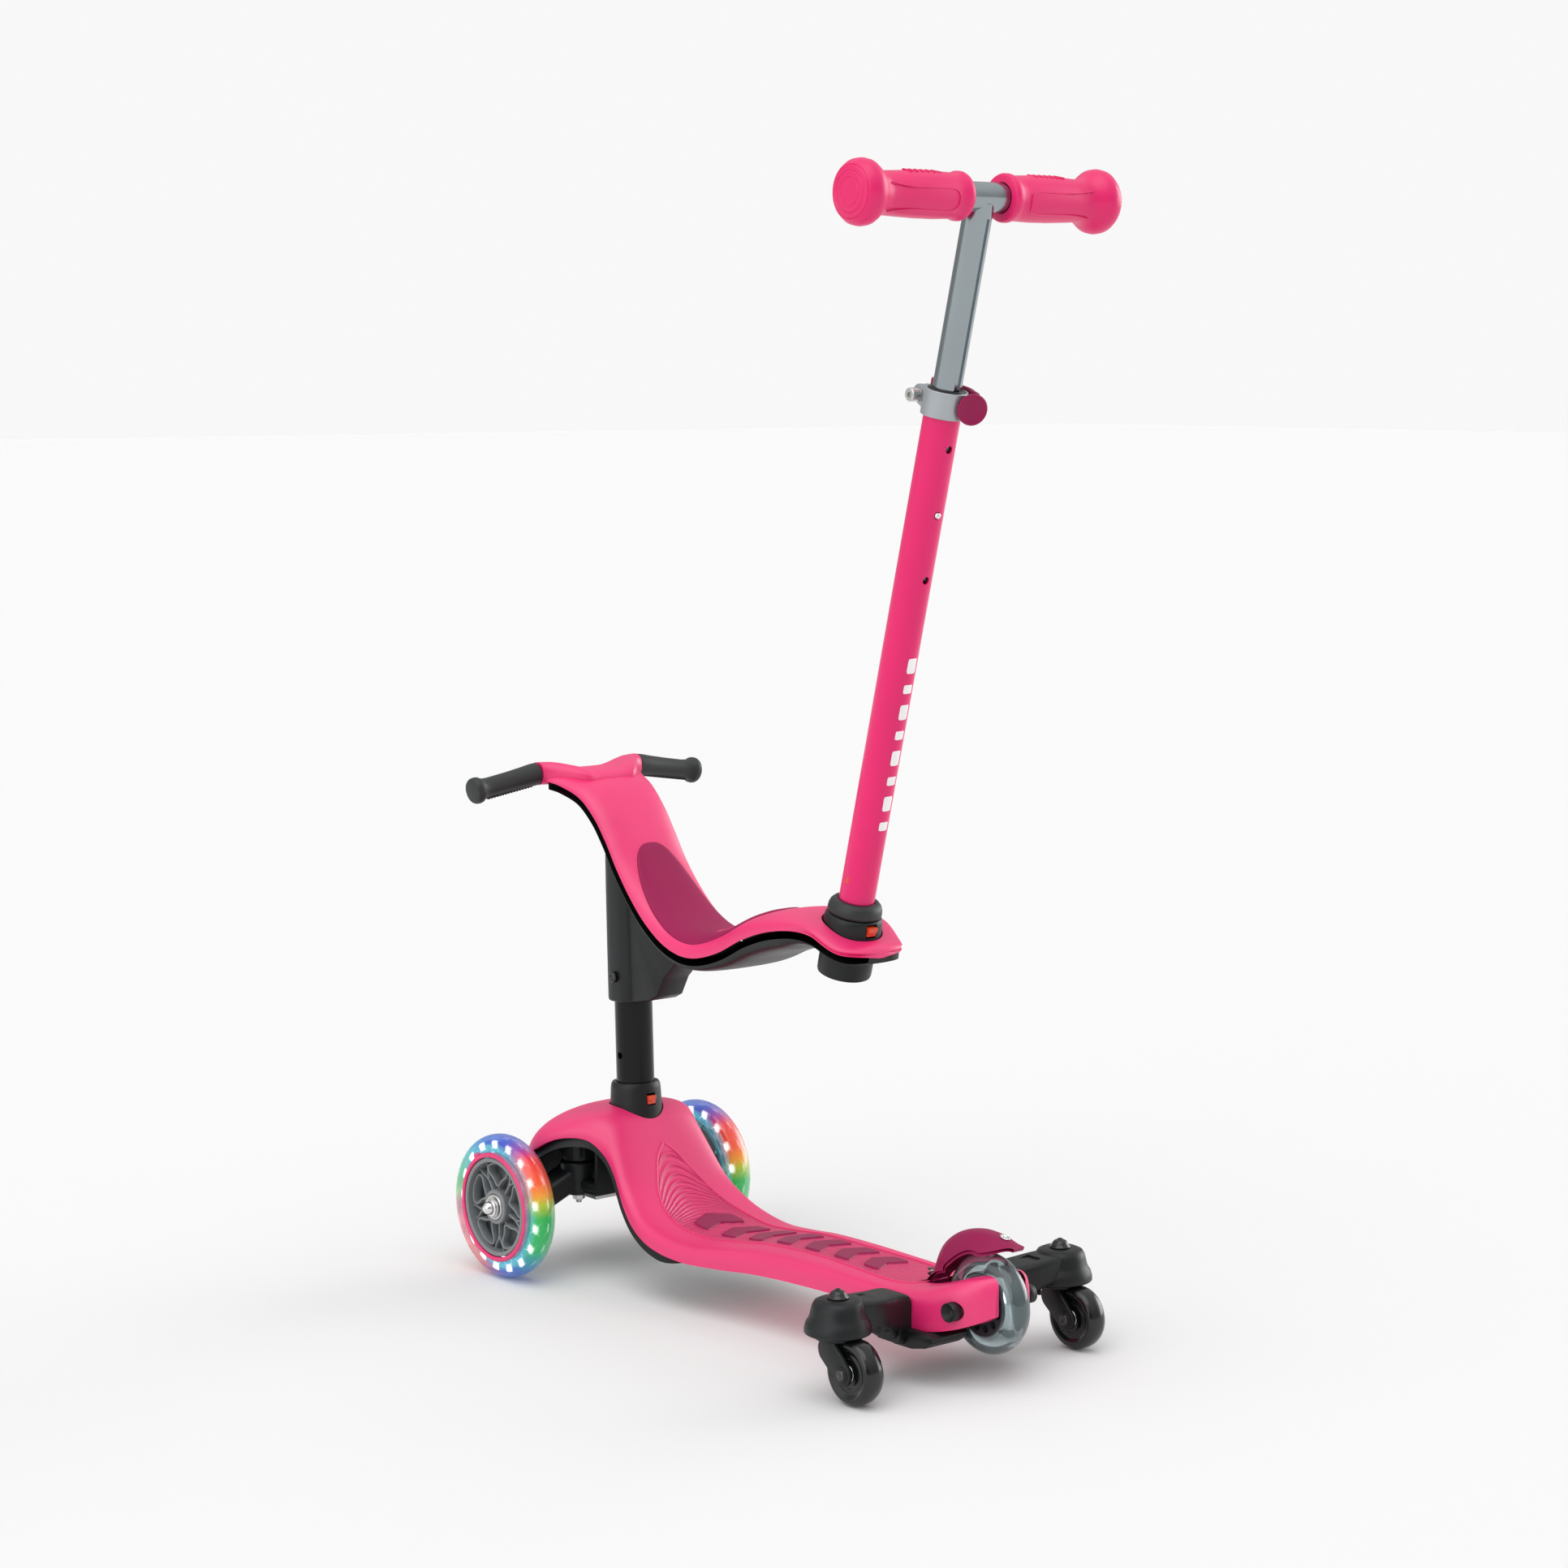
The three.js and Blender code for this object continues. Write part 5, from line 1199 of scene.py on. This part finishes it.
piece("saddle_shell", joined(saddle, bar_through(90, 48, 0.85, wing_station)), "seat",
      "pink_plastic", pink_smooth, "seat_shell", bevel=0.6, angle=40)

pad_magenta = finish("pad_magenta", (0.30, 0.008, 0.075), 0.52, grain=2600, depth=0.00009,
                     shine=0.2)


def pad_place(u, v):
    t, across, _ = skin_at(u, v, 0.004)
    across = signed(across, 0.7)
    swell = max(math.sin(math.pi * t), 0) ** 0.55
    proud = 0.2 - 1.9 * (1 - abs(across) ** 9) * min(swell * 3, 1)
    return seat_point(across * 0.66 * swell, mix(0.27, 0.765, t), proud if v <= 0.5 else 0.2)


piece("saddle_pad", mapped(110, 56, pad_place), "seat", "magenta_plastic", pad_magenta, "seat_pad")


def pad_stripe(middle):
    """A short raised bar across the pad."""
    def place(u, v):
        around = v * 2 * math.pi
        reach = min((1 - abs(1 - 2 * u)) * 1.25, 1)
        t = middle + reach * 0.009 * math.copysign(abs(math.sin(around)) ** 0.5, math.sin(around))
        across = reach * math.copysign(abs(math.cos(around)) ** 0.5, math.cos(around)) * 0.2
        return seat_point(across, t, -2.2 if u > 0.5 else -1.2)
    return mapped(16, 48, place)


piece("pad_stripes", joined(*[pad_stripe(m) for m in (0.385, 0.42, 0.455)]), "seat",
      "pink_plastic", pink_smooth)


# depth of the lower shell's belly below the saddle's edge, along 0..1
BELLY = [(0, 7), (0.1, 8), (0.2, 16), (0.3, 16), (0.45, 12), (0.6, 9), (0.8, 7), (1, 6)]


def lower_place(u, v):
    stage, across, inside = skin_at(u, v, 0.005)
    along = mix(0.006, 0.99, stage)
    half_width, drop, squareness = smooth_rows(SEAT_STATIONS, along)
    angle = across * math.pi / 2
    side = math.copysign(abs(math.sin(angle)) ** 0.75, across)
    side *= half_width - 0.6 - 4.2 * (1 - ease(0.1, 0.2, along))
    belly = mix(5.6, smooth_rows(BELLY, along)[0], max(math.cos(angle), 0) ** 0.5)
    lip = max(1 - along / 0.035, 0) ** 3
    crest = seat_point(0, along, drop * (1 - lip) + 0.7 + (belly if inside else 0))
    return Vector((side, crest.y, crest.z))


def sleeve_place(u, v):
    stage = round(u * 9)
    height = [229.7, 229.7, 230.3, 232, 260, 300, 330, 352, 352, 352][stage]
    width = [0, 18.4, 19.2, 19.6, 19.6, 19.5, 19.4, 19.2, 19.2, 0][stage]
    around = v * 2 * math.pi
    c, sn = math.cos(around), math.sin(around)
    return Vector((
        signed(c, 0.7) * width * 0.97, signed(sn, 0.7) * width * 0.97,
        height,
    ))


WEB = [
    (-26, 230.7), (-23.5, 300), (-21, 372), (-38, 386), (-62, 356), (-85, 322), (-112, 294),
    (-140, 284), (-118, 272), (-101, 256), (-92, 240), (-84, 236), (-60, 230.7),
]


def web_outline(v):
    count = len(WEB)
    t = (v % 1) * count
    i = int(t) % count
    f = t - int(t)
    (y0, z0), (y1, z1) = WEB[i], WEB[(i + 1) % count]
    return mix(y0, y1, f), mix(z0, z1, f), -56, 300


lower = cut(
    joined(mapped(150, 64, lower_place), moved(mapped(9, 72, sleeve_place), POST_FOOT),
           slab(web_outline, -14, 14, 130, 1.5)),
    moved(rod(16.4, 200, 369.5, 72), POST_FOOT),
    moved(rod(14.5, 250, 420, 72), MAST_FOOT),
    moved(rod(3.2, -40, 0, 32), POST_FOOT @ shift(0, 0, SCREW_AT) @ ALONG_X),
    moved(rod(24.5, 322.5, 420, 72), MAST_FOOT),
)
stub = spun([(14.5, 298.6), (19.4, 298.6), (20.8, 299.4), (21.4, 301.2), (21.6, 318), (21.6, 322.3),
             (14.5, 322.3)], 80)
piece("lower_shell", joined(lower, moved(stub, MAST_FOOT)), "seat", "black_plastic", black_satin,
      "seat_lower", bevel=0.6, angle=40)

screw = spun([(0, -0.6), (2, -0.6), (2.3, 0.2), (4, 0.2), (4.7, -0.4), (4.7, -2.4), (2.8, -2.5),
              (2.8, -5.4), (0, -5.4)], 40)
piece("sleeve_bolt", screw, "seat", "steel", cap_black, "sleeve_screw",
      place=POST_FOOT @ shift(-22.2, 0, SCREW_AT) @ Matrix.Rotation(-math.pi / 2, 4, "Y"))

grip_black = finish("grip_black", (0.016, 0.018, 0.019), 0.5, grain=2200, depth=0.00008)
for name, side in SIDES:
    body_shape = spun([
        (0, 0), (8.8, 0), (9.4, 0.7), (9.5, 6), (9, 14), (8.4, 30), (8.2, 50), (8.6, 55),
        (9.6, 58.2), (10.9, 60.2), (11.2, 62), (11, 64.6), (10, 66.4), (8, 67), (0, 67)], 56)
    ribs = [moved(block(8.1, 9.3, -4.4, 4.4, -0.7, 0.7), shift(0, 0, 10 + 2.9 * k))
            for k in range(16)]
    grip = moved(joined(body_shape, *ribs), Matrix.Rotation(0.152, 4, "Y") @ ALONG_X)
    piece(f"seat_grip_{name}_sleeve", mirrored(grip, side), "seat", "soft_black", grip_black,
          f"seat_grip_{name}", place=shift(side * 52, 22, 419.5), bevel=0.35)

# ---- Seat socket ----
# The push bar plugs in here: a shouldered black collar with a window for its release button,
# and a softer rounded boot ring above a thin shadow gap.
socket = cut(
    spun([(14.5, 323), (24, 323), (24, 328), (23.5, 338), (22.9, 345), (22.3, 347.6), (21.2, 348.8),
          (19.9, 349.2), (14.5, 349.2)], 96),
    block(-5.1, 5.1, -30, -8, 336.9, 347.6),
)
piece("mast_socket", socket, "seat", "black_plastic", black_satin, place=MAST_FOOT, bevel=0.4)
boot = spun([(14.5, 349.4), (20, 349.4), (21.2, 350.2), (21.5, 352), (21.2, 355), (20, 358),
             (18, 360), (15.8, 360.9), (14.5, 361)], 96)
piece("mast_boot", boot, "seat", "black_plastic", grip_black, "seat_collar", place=MAST_FOOT)
piece("mast_release_button", wedge_button(4.3, -25, -18.2, 338.4, 345.8), "mast_release",
      "red_button", button_red, "mast_button", place=MAST_FOOT, bevel=0.45)

# ---- Push bar ----
# A powder-coated pink tube holds a satin silver stem with a groove down its back. A snap button
# sets the height, and a quick-release clamp at the top grips it.
tube_pink = finish("tube_pink", (0.78, 0.002, 0.14), 0.3, grain=500, depth=0.00002, wear=0.08,
                   shine=0.5)
SNAP_AT = 673.5
HOLE_PITCH = 50.5
CROSSBAR_AT = 910
outer_tube = cut(
    spun([(12.3, 297), (13.7, 297), (14.1, 297.4), (14.1, 763.6), (13.7, 764), (12.3, 764)], 96),
    *[moved(rod(3, -20, 0, 32), shift(0, 0, at) @ ALONG_Y)
      for at in (SNAP_AT - HOLE_PITCH, SNAP_AT, SNAP_AT + HOLE_PITCH)],
    block(-1, 1, 5, 20, 742, 780),
)
piece("outer_tube", outer_tube, "mast", "pink_tube", tube_pink, "mast_tube", place=MAST_FOOT,
      bevel=0.25)
white_ink = finish("white_ink", (0.92, 0.9, 0.91), 0.4, grain=900, depth=0.00001)


def tube_mark(middle, length, width, facing, radius=14.16):
    """A small printed bar wrapped on the tube."""
    def place(u, v):
        around = v * 2 * math.pi
        reach = min((1 - abs(1 - 2 * u)) * 1.2, 1)
        c, sn = math.cos(around), math.sin(around)
        wide = reach * signed(c, 0.3) * width / 2
        tall = reach * signed(sn, 0.3) * length / 2
        angle = facing + wide / radius
        out = radius + 0.1 if u > 0.5 else radius - 0.4
        return Vector((out * math.sin(angle), -out * math.cos(angle), middle + tall))
    return mapped(16, 40, place)


marks = [tube_mark(426 + 18.5 * k, 12 if k % 2 else 7, 9, 0.1) for k in range(8)]
piece("tube_marks", joined(*marks), "mast", "pink_tube", white_ink, place=MAST_FOOT)
piece("tube_dot", tube_mark(378, 5, 3, -1.5), "mast", "red_button", button_red, place=MAST_FOOT)

silver = finish("satin_silver", (0.32, 0.36, 0.38), 0.2, grain=260, depth=0.000012, metallic=1.0)
stem_tube = cut(
    spun([(8.4, 610), (10.7, 610), (11, 610.4), (11, 907), (8.4, 907)], 96),
    block(-2.7, 2.7, -20, -9.3, 600, 896),
)
crossbar = moved(spun([(9.2, -118), (10.7, -118), (11, -117.6), (11, 117.6), (10.7, 118),
                       (9.2, 118)], 72), shift(0, 0, CROSSBAR_AT) @ ALONG_X)
piece("stem_tube", joined(stem_tube, crossbar), "handle", "silver_tube", silver,
      "stem_and_crossbar", place=MAST_FOOT, bevel=0.3)
snap = moved(spun([(0, 16.2), (1.2, 16), (2.1, 15.3), (2.6, 14.2), (2.6, 12.2), (2.2, 11.9),
                   (0, 11.9)], 32), shift(0, 0, SNAP_AT) @ Matrix.Rotation(
                       math.pi / 2, 4, "X"))
piece("snap_pin", snap, "height_catch", "bright_nut", bright, "snap_button", place=MAST_FOOT)
bush = spun([(11.35, 750), (12, 750), (12, 764.4), (13.9, 764.4), (14, 765), (13.8, 767.2),
             (13, 767.6), (11.35, 767.6)], 72)
piece("stem_bush", bush, "mast", "black_plastic", black_satin, "clamp_bush", place=MAST_FOOT)

clamp_grey = finish("clamp_grey", (0.40, 0.43, 0.45), 0.36, grain=800, depth=0.00003, metallic=0.6)
CLAMP_AT = 756.5
LEVER_PIVOT = shift(14, 24, 0)
CLAMP_BOLT = shift(0, 24, CLAMP_AT) @ ALONG_X
strap = cut(
    spun([(14.5, CLAMP_AT - 10), (16.3, CLAMP_AT - 10), (16.7, CLAMP_AT - 9.6),
          (16.7, CLAMP_AT + 9.6), (16.3, CLAMP_AT + 10), (14.5, CLAMP_AT + 10)], 96),
    block(-1.7, 1.7, 8, 40, 740, 780),
)
ears = []
for low, high in ((-4.8, -1.8), (1.8, 4.8)):
    ear = slab(hull_of((24, CLAMP_AT + 1, 7.2), (15, CLAMP_AT, 9.4)), low, high, 60, 0.6)
    ears.append(cut(ear, moved(rod(2.9, -20, 20, 24),
                               CLAMP_BOLT),
                    rod(14.5, 740, 780, 64)))
piece("clamp_strap", joined(strap, *ears), "mast", "grey_clamp", clamp_grey, "clamp_collar",
      place=MAST_FOOT, bevel=0.35)
socket_head = cut(
    moved(spun([(0, -14.4), (4.4, -14.4), (5.1, -13.8), (5.3, -9.6), (5.3, -5.2), (2.5, -5.2),
                (2.5, 14), (0, 14)], 48), CLAMP_BOLT),
    moved(rod(2.3, -20, -11.5, 6), CLAMP_BOLT),
)
barrel = moved(rod(2.9, CLAMP_AT - 8.6, CLAMP_AT + 8.6, 32), shift(14, 24, 0))
piece("clamp_screw", joined(socket_head, barrel), "mast", "steel", plated, "clamp_bolt",
      place=MAST_FOOT, bevel=0.3)


def lever_station(t):
    """The lever's band hugs the tube's right side and stands off it at both ends."""
    angle = mix(1.02, -1.12, t)
    inner = 17.8 + 7.4 * ease(0.3, 1.02, angle) + 4.6 * ease(0.55, 1.1, -angle)
    out = Vector((math.cos(angle), math.sin(angle), 0))
    return out * (inner + 2) + Vector((0, 0, CLAMP_AT + 1.75)), out * 2, Vector((0, 0, 10.25))


facing = Vector((-0.302, -0.953))
thumb = moved(spun([(0, 0), (10.8, 0), (11.7, 0.5), (11.9, 1.6), (11.9, 2.8), (11.3, 3.8),
                    (10.4, 4.2), (9.6, 4), (8.8, 3.6), (0, 3.6)], 64),
              Matrix.Rotation(math.pi / 2, 4, "X"))
thumb.transform(Matrix.Rotation(math.atan2(facing.x, -facing.y), 4, "Z"))
thumb.transform(shift(facing.x * 17.6 - facing.y * 14, facing.y * 17.6 + facing.x * 14,
                      CLAMP_AT + 0.5))
cams = [moved(spun([(3.2, low), (5.9, low), (6.4, low + 0.5), (6.4, high - 0.5), (5.9, high),
                    (3.2, high)], 40), shift(14, 24, CLAMP_AT))
        for low, high in ((-8.5, -3.4), (3.4, 12))]
band = cut(bar_through(60, 32, 0.4, lever_station, end=0.02),
           moved(rod(3.2, 700, 800, 32), LEVER_PIVOT),
           moved(rod(10, CLAMP_AT - 3.4, CLAMP_AT + 3.4, 48), LEVER_PIVOT))
piece("cam_lever", joined(band, thumb, *cams), "lever", "magenta_plastic", magenta, "clamp_lever",
      place=MAST_FOOT, bevel=0.4)

# ---- Push bar grips ----
# Soft pink rubber slides on over the crossbar: a rounded inner flange, a slim waist, a raised
# panel line with short slanted ribs, and a big mushroom end with turned grooves.
# The raised line round the palm panel, along 0..1: distance from the middle of the bar, offset.
PANEL = [(0, 100, 11.5), (0.1, 92, 10), (0.2, 80, 8.6), (0.32, 62, 8.4), (0.42, 44, 8.4),
         (0.46, 38.6, 7.4), (0.48, 36.2, 5), (0.5, 35.6, 0), (0.52, 36.2, -5), (0.54, 38.6, -7.4),
         (0.58, 44, -8.4), (0.68, 62, -8.4), (0.8, 80, -8.6), (0.9, 92, -10), (1, 100, -11.5)]


def panel_line(face):
    """A raised bead round one palm panel, whose middle is turned face degrees round the bar."""
    def place(u, v):
        along, offset = smooth_rows(PANEL, u)
        around = v * 2 * math.pi
        radius = 16.75 + 0.35 * math.sin(math.pi * (along - 24) / 76)
        bead = 0 if u in (0, 1) else 0.6
        swing = math.radians(face) + (offset + bead * math.cos(around)) / radius
        out = radius + bead * math.sin(around)
        return Vector((out * math.cos(swing), out * math.sin(swing), along))
    return place


grip_pink = finish("grip_pink", (0.78, 0.008, 0.14), 0.38, shine=0.5, grain=2400, depth=0.00006)
for name, side in SIDES:
    sleeve = spun([
        (0, 118.6), (11.4, 118.6), (11.4, 20), (15.6, 20), (17.2, 20.8), (18, 22.6), (18, 25.4),
        (17.2, 27.4), (16.5, 29.4), (16.7, 35), (17.2, 48), (17.1, 66), (16.3, 86), (15.8, 96),
        (16.4, 101), (18.4, 105), (21.4, 108.4), (23.5, 112), (24.1, 116), (23.4, 120.4),
        (21, 124), (19.6, 125.2), (19, 124.8), (18.2, 125.8), (15.4, 126.5), (14.8, 126),
        (14, 126.7), (10.6, 127), (10, 126.5), (9.2, 127), (0, 127)], 112)
    shapes = [sleeve, mapped(140, 8, panel_line(90)), mapped(140, 8, panel_line(270))]
    for k in range(6):
        rib = moved(block(15.4, 17.6, -4.2, 4.2, -0.9, 0.9),
                    shift(0, 0, 48 + 5.4 * k) @ Matrix.Rotation(0.5, 4, "X"))
        shapes.append(moved(rib, HALF_TURN))
    grip = moved(joined(*shapes), ALONG_X)
    piece(f"push_grip_{name}", mirrored(grip, side), "handle", "soft_pink", grip_pink,
          f"handle_grip_{name}",
          place=MAST_FOOT @ shift(0, 0, CROSSBAR_AT), bevel=0.3)

# ---- Bounds of the shown parts ----
low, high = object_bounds()
